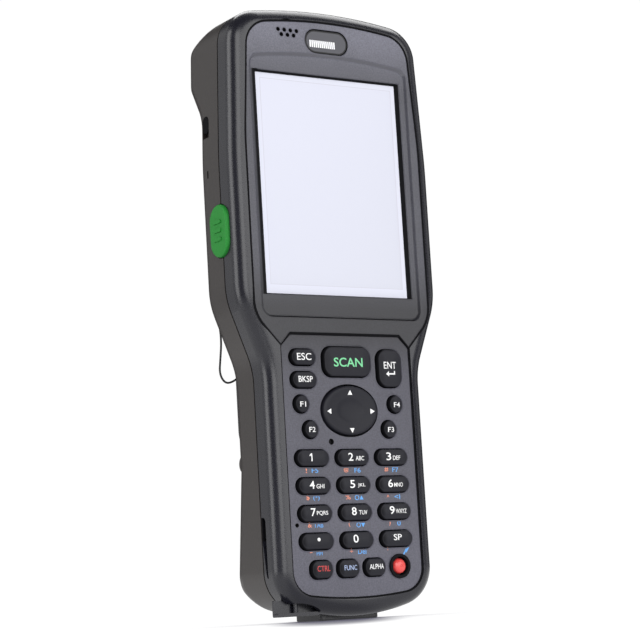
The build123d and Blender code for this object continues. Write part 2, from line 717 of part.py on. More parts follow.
# ------------------------------------------------------------------ rear housing
with BuildPart() as rear_housing:
    slab(body_outline.sketch, SEAM_D, HUMP_D)
    with BuildSketch(Plane.YZ):
        add(back_profile.sketch)
    extrude(amount=HEAD_HALF + OUTSIDE, both=True, mode=Mode.INTERSECT)
    fillet(back_side_edges(rear_housing), BACK_EDGE_R)
    cut_across(above_window.sketch)
    cut_across(below_bulge.sketch)
    bulge_edges = rear_housing.edges().filter_by(Axis.X).filter_by_position(
        Axis.Z, BULGE_LOW_Z - FIT, BULGE_LOW_Z + FIT
    )
    fillet(bulge_edges, BULGE_R)
    add(rear_hollow.part, mode=Mode.SUBTRACT)
    # Bosses for the screws, posts for the board, the battery's shelf
    for x in (-SCREW_X, SCREW_X):
        slab(placed(slot_shape(2 * BOSS_R, 2 * BOSS_R), x, SCREW_Z), SEAM_D, BACK_D - WALL / 2)
    for x in (-POST_X, POST_X):
        for z in POST_Z:
            post = placed(slot_shape(2 * POST_R, 2 * POST_R), x, z)
            slab(post, MAIN_D + BOARD_T, BACK_D - WALL / 2)
    shelf = placed(rounded_box(2 * GRIP_HALF - WALL, SHELF_T, SHELF_T / 3), 0, BATTERY_Z - SHELF_T / 2)
    slab(shelf, BATTERY_D, SHELF_BACK_D)
    # The battery door's opening and the bosses for its pin
    with BuildSketch(door_plane) as door_hole:
        with Locations((0, -KNUCKLE_R / 2)):
            Rectangle(DOOR_W + 2 * DOOR_GAP, DOOR_H + 2 * DOOR_GAP + KNUCKLE_R)
    extrude(door_hole.sketch, amount=-OUTSIDE, both=True, mode=Mode.SUBTRACT)
    for side in (-1, 1):
        with BuildSketch(hinge_plane.offset(side * (DOOR_W / 2 + DOOR_GAP))) as pin_boss:
            Circle(KNUCKLE_R)
            Circle(PIN_R + PIN_FIT, mode=Mode.SUBTRACT)
        extrude(pin_boss.sketch, amount=side * PIN_END)
        with BuildSketch(hinge_plane.offset(side * (DOOR_W / 2 + DOOR_GAP))) as pin_bore:
            Circle(PIN_R + PIN_FIT)
        extrude(pin_bore.sketch, amount=side * PIN_END, mode=Mode.SUBTRACT)
    # The scanner's window seat
    with BuildSketch(lens_plane) as lens_hole:
        Rectangle(LENS_W, LENS_RUN)
    extrude(lens_hole.sketch, amount=-OUTSIDE, mode=Mode.SUBTRACT)
    with BuildSketch(lens_plane.offset(1)) as lens_seat:
        RectangleRounded(LENS_W + 2 * LENS_RIM, LENS_RUN + 2 * LENS_RIM, LENS_RIM)
    extrude(lens_seat.sketch, amount=-LENS_SINK - LENS_T - 1, mode=Mode.SUBTRACT)
    # The side plug's recess, with room for its hinge, and the slot under it
    add(plug_cut.part, mode=Mode.SUBTRACT)
    add(screw_cut.part, mode=Mode.SUBTRACT)
    add(foot_cut.part, mode=Mode.SUBTRACT)
    add(trigger_cut.part, mode=Mode.SUBTRACT)
finish(rear_housing, "rear_housing", SHELL)

# ------------------------------------------------------------------ joint seal and screws
with BuildPart() as housing_seal:
    slab(body_outline.sketch, SEAM_D - SEAL_T, SEAM_D, inset=PLATE_GAP)
    slab(body_outline.sketch, SEAM_D - SEAL_T, SEAM_D, Mode.SUBTRACT, inset=WALL)
    add(foot_cut.part, mode=Mode.SUBTRACT)
    add(trigger_cut.part, mode=Mode.SUBTRACT)
finish(housing_seal, "housing_seal", DARK)

with BuildPart() as housing_screws:
    for x in (-SCREW_X, SCREW_X):
        slab(placed(slot_shape(2 * SCREW_R, 2 * SCREW_R), x, SCREW_Z), BACK_D - SCREW_T, BACK_D - SCREW_FIT)
        shank = placed(slot_shape(2 * SHANK_R, 2 * SHANK_R), x, SCREW_Z)
        slab(shank, BACK_D - SCREW_T - SHANK_L + SCREW_FIT, BACK_D - SCREW_T)
finish(housing_screws, "housing_screws", METAL)

# ------------------------------------------------------------------ upper face plate with its dish
with BuildPart() as display_bezel:
    slab(bezel_outline.sketch, BEZEL_FRONT_D, PLATE_BACK_D)
    with BuildSketch(facing(BEZEL_FRONT_D + DISH_DEEP)) as dish:
        with BuildLine():
            Polyline(
                (-DISH_HALF, DISH_HIGH_Z),
                (-DISH_HALF, DISH_LOW_Z),
                (DISH_HALF, DISH_LOW_Z),
                (DISH_HALF, DISH_HIGH_Z),
            )
            ThreePointArc(
                (-DISH_HALF, DISH_HIGH_Z), (0, DISH_HIGH_Z + DISH_ARCH), (DISH_HALF, DISH_HIGH_Z)
            )
        make_face()
        corner_fillet(dish, DISH_LOW_Z, DISH_R)
        corner_fillet(dish, DISH_HIGH_Z, DISH_R)
    extrude(dish.sketch, amount=DISH_DEEP, taper=-DISH_SLOPE, mode=Mode.SUBTRACT)
    with BuildSketch(facing(PLATE_BACK_D)) as window_back:
        with Locations((0, SCREEN_Z)):
            Rectangle(SCREEN_W, SCREEN_H)
    with BuildSketch(facing(BEZEL_FRONT_D + DISH_DEEP)) as window_front:
        with Locations((0, SCREEN_Z)):
            Rectangle(SCREEN_W + 2 * SLOPE_SIDE, SCREEN_H + 2 * SLOPE_TOP)
    loft([window_back.sketch.face(), window_front.sketch.face()], mode=Mode.SUBTRACT)
    for row, count in enumerate((4, 3)):
        for hole in range(count):
            x = EAR_X + (hole - (count - 1) / 2) * HOLE_PITCH
            z = EAR_Z - row * HOLE_ROW
            slab(placed(slot_shape(2 * HOLE_R, 2 * HOLE_R), x, z), FACE_D, PLATE_BACK_D, Mode.SUBTRACT)
    slab(grown(lamp_shape, FIT), FACE_D, PLATE_BACK_D, Mode.SUBTRACT)
finish(display_bezel, "display_bezel", PLATE)

with BuildPart() as indicator_lens:
    slab(lamp_shape, BEZEL_FRONT_D + FIT, PLATE_BACK_D)
    fillet(indicator_lens.faces().sort_by(Axis.Y)[0].edges(), FIT)
finish(indicator_lens, "indicator_lens", DARK)

# ------------------------------------------------------------------ display stack
with BuildPart() as touch_panel:
    slab(placed(rounded_box(*glass, 0.8), 0, SCREEN_Z), PLATE_BACK_D, PLATE_BACK_D + GLASS_T)
finish(touch_panel, "touch_panel", (0.9, 0.9, 0.97))

lcd_front_d = PLATE_BACK_D + GLASS_T
with BuildPart() as lcd_module:
    panel = rounded_box(glass[0] - 2 * FIT, glass[1] - 2 * FIT, 0.6)
    slab(placed(panel, 0, SCREEN_Z), lcd_front_d, lcd_front_d + LCD_T)
finish(lcd_module, "lcd_module", METAL)

carrier_floor_d = lcd_front_d + LCD_T
with BuildPart() as lcd_carrier:
    tray = rounded_box(2 * CARRIER_HALF, glass[1] + 2 * FIT + 2 * CARRIER_WALL, 2)
    slab(placed(tray, 0, SCREEN_Z), ledge_back_d, carrier_floor_d + CARRIER_FLOOR)
    slab(placed(display_hole, 0, SCREEN_Z), ledge_back_d, carrier_floor_d, Mode.SUBTRACT)
finish(lcd_carrier, "lcd_carrier", DARK)

# ------------------------------------------------------------------ sound
with BuildPart() as earpiece:
    slab(placed(slot_shape(2 * EAR_R, 2 * EAR_R), EAR_X, EAR_Z - HOLE_ROW), ledge_back_d, ledge_back_d + EAR_T)
finish(earpiece, "earpiece", DARK)

with BuildPart() as microphone:
    slab(placed(slot_shape(2 * MIC_R, 2 * MIC_R), MIC_X, MIC_Z), skin_back_d, skin_back_d + MIC_T)
finish(microphone, "microphone", METAL)

# ------------------------------------------------------------------ lower face plate
with BuildPart() as keypad_plate:
    slab(keyplate_outline.sketch, KEYPLATE_FRONT_D, keyplate_back_d)
    collar_r = POWER_R + POWER_GAP + COLLAR_W
    collar = placed(slot_shape(2 * collar_r, 2 * collar_r), power_x, MODE_Z)
    slab(collar, COLLAR_FRONT_D, keyplate_back_d)
    for shape, x, z in keys.values():
        slab(placed(grown(shape, KEY_GAP), x, z), KEY_FRONT_D, keyplate_back_d, Mode.SUBTRACT)
    collar_hole = slot_shape(2 * (POWER_R + POWER_GAP), 2 * (POWER_R + POWER_GAP))
    slab(placed(collar_hole, power_x, MODE_Z), KEY_FRONT_D, keyplate_back_d, Mode.SUBTRACT)
    slab(placed(nav_shape(NAV_GAP), 0, NAV_Z), FACE_D, keyplate_back_d, Mode.SUBTRACT)
    for x, z, radius in ((MIC_X, MIC_Z, MIC_HOLE_R), (SMALL_HOLE_X, SMALL_HOLE_Z, HOLE_R)):
        slab(placed(slot_shape(2 * radius, 2 * radius), x, z), FACE_D, keyplate_back_d, Mode.SUBTRACT)
finish(keypad_plate, "keypad_plate", PLATE)

# ------------------------------------------------------------------ keys, each with its own stem flange
for key_name, (shape, x, z) in keys.items():
    with BuildPart() as key:
        slab(placed(shape, x, z), KEY_FRONT_D, flange_d + KEY_FLANGE_T)
        fillet(key.faces().sort_by(Axis.Y)[0].edges(), KEY_EDGE_R)
        slab(placed(grown(shape, KEY_FLANGE), x, z), flange_d, flange_d + KEY_FLANGE_T)
    finish(key, key_name, DARK)

nav_flange_d = skin_back_d + NAV_ROOM
nav_back_d = nav_flange_d + NAV_FLANGE_T
with BuildPart() as nav_pad:
    slab(placed(nav_shape(), 0, NAV_Z), NAV_FRONT_D, nav_back_d)
    fillet(nav_pad.faces().sort_by(Axis.Y)[0].edges(), KEY_EDGE_R)
    slab(placed(nav_shape(NAV_FLANGE), 0, NAV_Z), nav_flange_d, nav_back_d)
finish(nav_pad, "nav_pad", DARK)

pivot_room = (membrane_d - nav_back_d - PIVOT_T) / 2
with BuildPart() as nav_pivot:
    disc = placed(slot_shape(2 * PIVOT_R, 2 * PIVOT_R), 0, NAV_Z)
    slab(disc, nav_back_d + pivot_room, nav_back_d + pivot_room + PIVOT_T)
finish(nav_pivot, "nav_pivot", METAL)

# ------------------------------------------------------------------ membrane and boards
keyboard_h = KEYBOARD_HIGH_Z - KEYBOARD_LOW_Z
keyboard_z = (KEYBOARD_HIGH_Z + KEYBOARD_LOW_Z) / 2
with BuildPart() as key_membrane:
    sheet = rounded_box(2 * (BOARD_HALF - RIB_W - FIT), keyboard_h, 5)
    slab(placed(sheet, 0, keyboard_z), membrane_d, keyboard_d)
finish(key_membrane, "key_membrane", (0.3, 0.3, 0.32))

with BuildPart() as keypad_board:
    slab(placed(rounded_box(2 * BOARD_HALF, keyboard_h, 6), 0, keyboard_z), keyboard_d, keyboard_d + BOARD_T)
finish(keypad_board, "keypad_board", BOARD)

with BuildPart() as main_board:
    main_shape = rounded_box(2 * MAIN_HALF, MAIN_HIGH_Z - MAIN_LOW_Z, 2)
    slab(placed(main_shape, 0, (MAIN_HIGH_Z + MAIN_LOW_Z) / 2), MAIN_D, MAIN_D + BOARD_T)
finish(main_board, "main_board", BOARD)

# ------------------------------------------------------------------ scanner
engine_front_d = MAIN_D + BOARD_T
with BuildPart() as scan_engine:
    box = placed(rounded_box(ENGINE_W, ENGINE_H, 1), 0, ENGINE_Z + ENGINE_H / 2)
    slab(box, engine_front_d, engine_front_d + ENGINE_T)
finish(scan_engine, "scan_engine", METAL)

with BuildPart() as scan_window:
    with BuildSketch(lens_plane.offset(-LENS_SINK)):
        RectangleRounded(LENS_W + 2 * LENS_RIM - FIT, LENS_RUN + 2 * LENS_RIM - FIT, LENS_RIM)
    extrude(amount=-LENS_T)
finish(scan_window, "scan_window", (0.5, 0.05, 0.05))

# ------------------------------------------------------------------ side triggers and their switches
def trigger(side):
    """One side trigger: an obround cap with three ribs and a flange inside the wall."""
    front = side * (HEAD_HALF + TRIGGER_PROUD)
    flange_x = side * (HEAD_HALF - WALL - FRONT_EXTRA - KEY_REST_GAP)
    with BuildPart() as cap:
        with BuildSketch(Plane.YZ.offset(front)) as face:
            with Locations((y_at(TRIGGER_D), TRIGGER_Z)):
                SlotOverall(TRIGGER_H, TRIGGER_W, rotation=90)
        extrude(face.sketch, amount=flange_x - front)
        outer = cap.faces().sort_by(Axis.X)[-1 if side > 0 else 0]
        fillet(outer.edges(), TRIGGER_PROUD - TRIGGER_RIB)
        with BuildSketch(Plane.YZ.offset(front - side * TRIGGER_RIB)) as ribs:
            with Locations((y_at(TRIGGER_D), TRIGGER_Z)):
                with GridLocations(1, TRIGGER_RIB_PITCH, 1, TRIGGER_RIBS):
                    SlotOverall(TRIGGER_RIB_L, TRIGGER_RIB_W)
        extrude(ribs.sketch, amount=side * 2 * TRIGGER_RIB)
        with BuildSketch(Plane.YZ.offset(flange_x)) as flange:
            with Locations((y_at(TRIGGER_D), TRIGGER_Z)):
                SlotOverall(TRIGGER_H + 2 * TRIGGER_FLANGE, TRIGGER_W + 2 * TRIGGER_FLANGE, rotation=90)
        extrude(flange.sketch, amount=-side * TRIGGER_FLANGE_T)
    return cap


for side, trigger_name in ((-1, "trigger_left"), (1, "trigger_right")):
    finish(trigger(side), trigger_name, GREEN)

with BuildPart() as side_switches:
    switch = rounded_box(SWITCH_T, SWITCH_H, SWITCH_T / 4)
    for side in (-1, 1):
        x = side * (CARRIER_HALF + SWITCH_T / 2)
        slab(placed(switch, x, TRIGGER_Z), SWITCH_D, SWITCH_D + SWITCH_W)
finish(side_switches, "side_switches", METAL)

# ------------------------------------------------------------------ battery and its door
with BuildPart() as battery_pack:
    cell = placed(rounded_box(BATTERY_W, BATTERY_H, 2), 0, BATTERY_Z + BATTERY_H / 2)
    slab(cell, BATTERY_D, BATTERY_D + BATTERY_T)
finish(battery_pack, "battery_pack", (0.2, 0.2, 0.25))

with BuildPart() as battery_door:
    with BuildSketch(door_plane) as door_face:
        RectangleRounded(DOOR_W, DOOR_H, DOOR_R)
        with Locations((0, -DOOR_H / 4)):
            Rectangle(DOOR_W, DOOR_H / 2)
    extrude(door_face.sketch, amount=-DOOR_T)
    with BuildSketch(hinge_plane) as knuckle:
        Circle(KNUCKLE_R)
    extrude(knuckle.sketch, amount=DOOR_W / 2, both=True)
    with BuildSketch(hinge_plane) as knuckle_bore:
        Circle(PIN_R + PIN_FIT)
    extrude(knuckle_bore.sketch, amount=DOOR_W / 2, both=True, mode=Mode.SUBTRACT)
    with BuildSketch(door_plane) as grip_ribs:
        with Locations((0, DOOR_H / 4)):
            with GridLocations(1, DOOR_H / 12, 1, 4):
                SlotOverall(DOOR_W / 3, DOOR_H / 30)
    extrude(grip_ribs.sketch, amount=DOOR_RIB)
finish(battery_door, "battery_door", SHELL)

with BuildPart() as door_pin:
    with BuildSketch(hinge_plane):
        Circle(PIN_R)
    extrude(amount=DOOR_W / 2 + DOOR_GAP + PIN_END - FIT, both=True)
finish(door_pin, "door_hinge_pin", METAL)

# ------------------------------------------------------------------ foot with the dock contacts
with BuildPart() as dock_foot:
    with BuildSketch() as foot_pad:
        with Locations((0, y_at(foot_mid_d))):
            RectangleRounded(2 * PAD_HALF, foot_depth, FOOT_R)
    extrude(foot_pad.sketch, amount=FOOT_LOW_Z)
    fillet(dock_foot.faces().sort_by(Axis.Z)[0].edges(), FOOT_EDGE_R)
    with BuildSketch(Plane.XY.offset(FOOT_LOW_Z)) as foot_block:
        with Locations((0, y_at(foot_mid_d))):
            RectangleRounded(2 * FOOT_HALF, foot_depth, FOOT_R)
    extrude(foot_block.sketch, amount=FOOT_HIGH_Z - FOOT_LOW_Z)
    with BuildSketch(Plane.XY.offset(FOOT_HIGH_Z - FOOT_FLANGE_T)) as foot_flange:
        with Locations((0, y_at(foot_mid_d))):
            RectangleRounded(2 * (FOOT_HALF + FOOT_FLANGE), foot_depth + 2 * FOOT_FLANGE, FOOT_R)
    extrude(foot_flange.sketch, amount=FOOT_FLANGE_T)
    with BuildSketch() as contact_slots:
        with Locations((0, y_at(foot_mid_d))):
            with GridLocations(CONTACT_PITCH, 1, CONTACTS, 1):
                Rectangle(CONTACT_W, CONTACT_L)
    extrude(contact_slots.sketch, amount=CONTACT_T, mode=Mode.SUBTRACT)
finish(dock_foot, "dock_foot", DARK)

with BuildPart() as dock_contacts:
    with BuildSketch(Plane.XY.offset(FIT / 2)):
        with Locations((0, y_at(foot_mid_d))):
            with GridLocations(CONTACT_PITCH, 1, CONTACTS, 1):
                Rectangle(CONTACT_W, CONTACT_L)
    extrude(amount=CONTACT_T - FIT / 2)
finish(dock_contacts, "dock_contacts", (0.8, 0.65, 0.3))

# ------------------------------------------------------------------ side plug
with BuildPart() as port_plug:
    with BuildSketch(Plane.YZ.offset(-plug_x)) as plug_face:
        with Locations((y_at(PLUG_D), PLUG_Z)):
            SlotOverall(PLUG_H, PLUG_W, rotation=90)
    extrude(plug_face.sketch, amount=PLUG_T)
finish(port_plug, "port_plug", DARK)

# ------------------------------------------------------------------ hand strap
with BuildPart() as hand_strap:
    with BuildSketch(Plane.YZ) as band:
        with BuildLine() as run:
            FilletPolyline(
                (y_at(BAR_D), STRAP_HIGH_Z),
                (y_at(STRAP_D), STRAP_HIGH_Z - STRAP_LEAN),
                (y_at(STRAP_D), STRAP_LOW_Z + STRAP_LEAN),
                (y_at(BAR_D), STRAP_LOW_Z),
                radius=STRAP_BEND,
            )
        trace(run.line, line_width=STRAP_T)
        with Locations((y_at(BAR_D), STRAP_HIGH_Z), (y_at(BAR_D), STRAP_LOW_Z)):
            Circle(BAR_R + BAR_FIT + STRAP_T)
        with Locations((y_at(BAR_D), STRAP_HIGH_Z), (y_at(BAR_D), STRAP_LOW_Z)):
            Circle(BAR_R + BAR_FIT, mode=Mode.SUBTRACT)
    extrude(band.sketch, amount=STRAP_W / 2, both=True)
finish(hand_strap, "hand_strap", (0.05, 0.05, 0.06))

with BuildPart() as strap_pad:
    pad = placed(rounded_box(STRAP_W - 4, PAD_HIGH_Z - PAD_LOW_Z, 5), 0, (PAD_HIGH_Z + PAD_LOW_Z) / 2)
    slab(pad, STRAP_D - STRAP_T / 2 - PAD_T, STRAP_D - STRAP_T / 2)
finish(strap_pad, "strap_pad", (0.1, 0.1, 0.12))

with BuildPart() as strap_lugs:
    for side in (-1, 1):
        for z in (STRAP_LOW_Z, STRAP_HIGH_Z):
            with BuildSketch(Plane.YZ.offset(side * (STRAP_W / 2 + LUG_GAP))) as lug:
                with Locations((y_at(BAR_D), z)):
                    Circle(LUG_R)
                with Locations((y_at((BAR_D + BACK_D) / 2), z)):
                    Rectangle(BAR_D - BACK_D, 2 * LUG_R)
                with Locations((y_at(BAR_D), z)):
                    Circle(BAR_R + BAR_FIT, mode=Mode.SUBTRACT)
            extrude(lug.sketch, amount=side * LUG_T)
finish(strap_lugs, "strap_lugs", SHELL)

with BuildPart() as strap_bars:
    for z in (STRAP_HIGH_Z, STRAP_LOW_Z):
        with BuildSketch(Plane.YZ) as bar:
            with Locations((y_at(BAR_D), z)):
                Circle(BAR_R)
        extrude(bar.sketch, amount=STRAP_W / 2 + LUG_GAP + LUG_T, both=True)
finish(strap_bars, "strap_bars", METAL)

# ------------------------------------------------------------------ stylus in its sleeve
with BuildPart() as stylus_sleeve:
    base = placed(rounded_box(SLEEVE_BASE_W, SLEEVE_H, 1), STYLUS_X, SLEEVE_Z + SLEEVE_H / 2)
    slab(base, STRAP_OUT_D, STRAP_OUT_D + SLEEVE_BASE)
    with BuildSketch(Plane.XY.offset(SLEEVE_Z)) as tube:
        with Locations((STYLUS_X, y_at(SLEEVE_D))):
            Circle(SLEEVE_R)
    extrude(tube.sketch, amount=SLEEVE_H)
    with BuildSketch(Plane.XY.offset(SLEEVE_Z)) as bore:
        with Locations((STYLUS_X, y_at(SLEEVE_D))):
            Circle(STYLUS_R + STYLUS_FIT)
    extrude(bore.sketch, amount=SLEEVE_H, mode=Mode.SUBTRACT)
finish(stylus_sleeve, "stylus_sleeve", DARK)

cap_z = SLEEVE_Z + SLEEVE_H
with BuildPart() as stylus:
    with BuildSketch(Plane.XZ.offset(-y_at(SLEEVE_D))) as half:
        with BuildLine():
            Polyline(
                (STYLUS_X, SLEEVE_Z - 2 * STYLUS_TIP),
                (STYLUS_X + STYLUS_R / 3, SLEEVE_Z - 2 * STYLUS_TIP),
                (STYLUS_X + STYLUS_R, SLEEVE_Z - STYLUS_TIP),
                (STYLUS_X + STYLUS_R, cap_z),
                (STYLUS_X + STYLUS_CAP_R, cap_z),
                (STYLUS_X + STYLUS_CAP_R, cap_z + STYLUS_CAP_H - 1),
                (STYLUS_X + STYLUS_CAP_R - 1, cap_z + STYLUS_CAP_H),
                (STYLUS_X, cap_z + STYLUS_CAP_H),
                close=True,
            )
        make_face()
    revolve(half.sketch, axis=Axis((STYLUS_X, y_at(SLEEVE_D), 0), (0, 0, 1)))
finish(stylus, "stylus", DARK)

# ------------------------------------------------------------------ the stylus tether
TETHER_ROUTE = (
    (-28.0, 26.5, 112.0),
    (-28.0, 29.2, 112.0),
    (-29.4, 30.4, 106.5),
    (-29.8, 30.3, 100.5),
    (-29.6, 29.8, 94.5),
    (-30.3, 29.9, 88.5),
    (-30.8, 30.2, 83.4),
    (-28.6, 30.3, 80.2),
    (-25.4, 30.0, 81.0),
    (-21.6, 29.8, 84.0),
    (-17.0, 29.2, 86.4),
    (-17.0, 26.5, 86.4),
)
eyelets = (TETHER_ROUTE[0], TETHER_ROUTE[-1])
with BuildPart() as tether_eyelets:
    for x, depth, z in eyelets:
        slab(placed(slot_shape(2 * EYELET_R, 2 * EYELET_R), x, z), depth - EYELET_T, depth)
finish(tether_eyelets, "tether_eyelets", DARK)

route = [Vector(x, y_at(depth), z) for x, depth, z in TETHER_ROUTE]
radii = []
for before, here, after in zip(route, route[1:], route[2:]):
    half_turn = math.radians((here - before).get_angle(after - here)) / 2
    shorter = min((here - before).length, (after - here).length)
    radii.append(0.45 * shorter / math.tan(half_turn))
with BuildPart() as tether_cord:
    with BuildLine() as cord_line:
        FilletPolyline(*route, radius=radii)
    cord_wire = cord_line.wires()[0]
    start = Plane(origin=cord_wire @ 0, z_dir=cord_wire % 0)
    with BuildSketch(start):
        Circle(CORD_R)
    sweep()
finish(tether_cord, "tether_cord", DARK)
cord_length = cord_wire.length
print("cord radii", [round(r, 1) for r in radii], "length", round(cord_length, 2))
print("cord volume", tether_cord.part.volume, "section by length", math.pi * CORD_R**2 * cord_length)
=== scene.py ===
import bmesh
import bpy
import math

import numpy as np
from mathutils import Matrix, Vector


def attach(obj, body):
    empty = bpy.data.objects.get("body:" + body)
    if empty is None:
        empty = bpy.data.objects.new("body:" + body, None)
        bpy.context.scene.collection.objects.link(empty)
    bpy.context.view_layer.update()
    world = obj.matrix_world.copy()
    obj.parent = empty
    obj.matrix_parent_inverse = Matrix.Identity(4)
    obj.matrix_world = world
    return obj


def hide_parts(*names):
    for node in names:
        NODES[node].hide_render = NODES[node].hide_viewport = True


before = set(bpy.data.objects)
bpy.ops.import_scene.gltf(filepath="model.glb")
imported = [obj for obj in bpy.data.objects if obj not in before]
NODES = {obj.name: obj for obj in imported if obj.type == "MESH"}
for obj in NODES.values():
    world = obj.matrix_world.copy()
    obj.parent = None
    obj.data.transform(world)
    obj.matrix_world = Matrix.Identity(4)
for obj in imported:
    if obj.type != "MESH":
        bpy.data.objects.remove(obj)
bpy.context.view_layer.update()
MM = 0.001

# ---------------------------------------------------------------- camera
# A long lens a little above the table top, to the left of the terminal and looking up at it.
CAMERA_PLACE = (-0.3613, -0.5667, 0.0057)
CAMERA_TURN, CAMERA_RISE, CAMERA_ROLL = math.radians(-32.85), math.radians(-8.07), math.radians(-3.35)
FOCAL_PIXELS, PICTURE_PIXELS = 1996, 640

camera = bpy.data.objects.new("camera", bpy.data.cameras.new("camera"))
bpy.context.collection.objects.link(camera)
backwards = Vector(
    (
        math.sin(CAMERA_TURN) * math.cos(CAMERA_RISE),
        -math.cos(CAMERA_TURN) * math.cos(CAMERA_RISE),
        math.sin(CAMERA_RISE),
    )
)
level = (-backwards).cross(Vector((0, 0, 1))).normalized()
upwards = backwards.cross(level)
aim = Matrix((level, upwards, backwards)).transposed().to_4x4()
camera.matrix_world = Matrix.Translation(CAMERA_PLACE) @ aim @ Matrix.Rotation(CAMERA_ROLL, 4, "Z")
camera.data.sensor_width = 36
camera.data.lens = camera.data.sensor_width * FOCAL_PIXELS / PICTURE_PIXELS
bpy.context.scene.camera = camera
bpy.context.scene.view_settings.view_transform = "Standard"

# ---------------------------------------------------------------- table top and studio light
# A white table top under a white studio. Only the camera sees the white room at its full strength;
# the six soft boxes shade the terminal.
WHITE_ROOM, ROOM_GLOW = 1.02, 0.05
MIDDLE, OVERHEAD_MIDDLE = (0, 0, 0.12), (0, 0, 0.10)
SOFT_BOXES = (
    # place, aimed at, width, height, watts
    ((-0.87, 1.16, 0.55), MIDDLE, 1.3, 1.6, 4),  # behind on the left, weak
    ((-1.42, 0.33, 0.55), MIDDLE, 0.75, 1.6, 14),  # left
    ((0.4, -1.55, 0.55), MIDDLE, 1.9, 1.3, 22),  # in front
    ((-0.83, -1.27, 0.55), MIDDLE, 0.8, 1.3, 13),  # in front on the left
    ((1.35, -0.25, 0.5), MIDDLE, 0.8, 1.3, 1.8),  # right, weak
    ((0.65, 0.45, 1.5), OVERHEAD_MIDDLE, 1.9, 0.8, 21),  # overhead
)


class Signal:
    """One output socket of a material's nodes. Sums on it add Math nodes; | takes the larger value."""

    def __init__(self, finish, socket):
        self.finish = finish
        self.socket = socket

    def math(self, operation, *others):
        """A Math node of this signal and the others."""
        return self.finish.node("ShaderNodeMath", self, *others, settings={"operation": operation})

    def __add__(self, other):
        return self.math("ADD", other)

    def __mul__(self, other):
        return self.math("MULTIPLY", other)

    def __sub__(self, other):
        return self.math("SUBTRACT", other)

    def __rsub__(self, other):
        return self.finish.node("ShaderNodeMath", other, self, settings={"operation": "SUBTRACT"})

    def __pow__(self, other):
        return self.math("POWER", other)

    def __gt__(self, other):
        return self.math("GREATER_THAN", other)

    def __lt__(self, other):
        return self.math("LESS_THAN", other)

    def __or__(self, other):
        return self.math("MAXIMUM", other)

    def __abs__(self):
        return self.math("ABSOLUTE")

    __radd__ = __add__


class Finish:
    """A material made of nodes round one Principled shader, whose sockets are set by name."""

    def __init__(self, name, **sockets):
        self.material = bpy.data.materials.new(name)
        self.material.use_nodes = True
        self.tree = self.material.node_tree
        self.shader = self.tree.nodes["Principled BSDF"]
        self.set(**sockets)

    def node(self, kind, *values, out=0, settings=None, **named):
        """Adds a node with its settings, and values or links for its sockets, by order or by name."""
        made = self.tree.nodes.new(kind)
        for key, value in (settings or {}).items():
            setattr(made, key, value)
        for number, value in enumerate(values):
            self.join(made.inputs[number], value)
        for key, value in named.items():
            self.join(made.inputs[key], value)
        return Signal(self, made.outputs[out])

    def join(self, socket, value):
        """Links a signal to a socket, or sets the socket's own value."""
        if isinstance(value, Signal):
            self.tree.links.new(value.socket, socket)
        elif isinstance(value, tuple) and len(value) == 3 and socket.type == "RGBA":
            socket.default_value = (*value, 1)
        else:
            socket.default_value = value

    def set(self, **sockets):
        """Sets sockets of the shader by name, with _ for a space."""
        for name, value in sockets.items():
            self.join(self.shader.inputs[name.replace("_", " ")], value)

    def coords(self, kind="Object"):
        return self.node("ShaderNodeTexCoord", out=kind)

    def axes(self, kind="Object"):
        """The x, y and z of the coordinates, as three signals."""
        split = self.node("ShaderNodeSeparateXYZ", self.coords(kind)).socket.node
        return [Signal(self, socket) for socket in split.outputs]

    def colour_now(self):
        """The signal that feeds the shader's colour so far."""
        return Signal(self, self.shader.inputs["Base Color"].links[0].from_socket)

    def noise(self, scale, detail=2.0, rough=0.5):
        """Noise from 0 to 1 whose grain is about one over the scale, in metres."""
        return self.node(
            "ShaderNodeTexNoise", Vector=self.coords(), Scale=scale, Detail=detail, Roughness=rough
        )

    def spread(self, signal, low, high, low_out=0.0, high_out=1.0):
        """Stretches a signal from one span of values to another and clamps it."""
        return self.node("ShaderNodeMapRange", signal, low, high, low_out, high_out)

    def mix(self, factor, first, second):
        """One colour into another. A Mix node keeps its colour sockets behind those of other kinds."""
        made = self.tree.nodes.new("ShaderNodeMix")
        made.data_type = "RGBA"
        for socket, value in ((0, factor), (6, first), (7, second)):
            self.join(made.inputs[socket], value)
        return Signal(self, made.outputs[2])

    def bump(self, height, distance):
        """Raises the surface by a height signal times a distance in metres."""
        normal = self.node("ShaderNodeBump", Height=height, Distance=distance)
        self.set(Normal=normal)
        return normal

    def soften(self, normal, radius):
        """Rounds the edges that a bumped surface shows, by a radius in metres."""
        softened = self.node("ShaderNodeBevel", Radius=radius, settings={"samples": 6})
        self.join(normal.socket.node.inputs["Normal"], softened)

    def cover(self, mask, colour):
        """Covers the finish with a dull paint where the mask is 1; it paints shade, and the black round
        the power key.
        """
        dull = {"Base Color": colour, "Roughness": 0.9, "Specular IOR Level": 0.08}
        paint = self.node("ShaderNodeBsdfPrincipled", **dull)
        covered = self.node("ShaderNodeMixShader", mask, Signal(self, self.shader.outputs[0]), paint)
        self.join(self.tree.nodes["Material Output"].inputs["Surface"], covered)


def dress(finish, *nodes):
    """Gives CAD nodes or pieces one finish."""
    for item in nodes:
        target = NODES[item] if isinstance(item, str) else item
        target.data.materials.clear()
        target.data.materials.append(finish.material)


world = bpy.data.worlds.new("white room")
bpy.context.scene.world = world
world.use_nodes = True
room = world.node_tree
sight = room.nodes.new("ShaderNodeLightPath")
glow = room.nodes.new("ShaderNodeMapRange")
glow.inputs["To Min"].default_value = ROOM_GLOW
glow.inputs["To Max"].default_value = WHITE_ROOM
room.links.new(sight.outputs["Is Camera Ray"], glow.inputs["Value"])
room.links.new(glow.outputs["Result"], room.nodes["Background"].inputs["Strength"])
room.nodes["Background"].inputs["Color"].default_value = (1, 1, 1, 1)

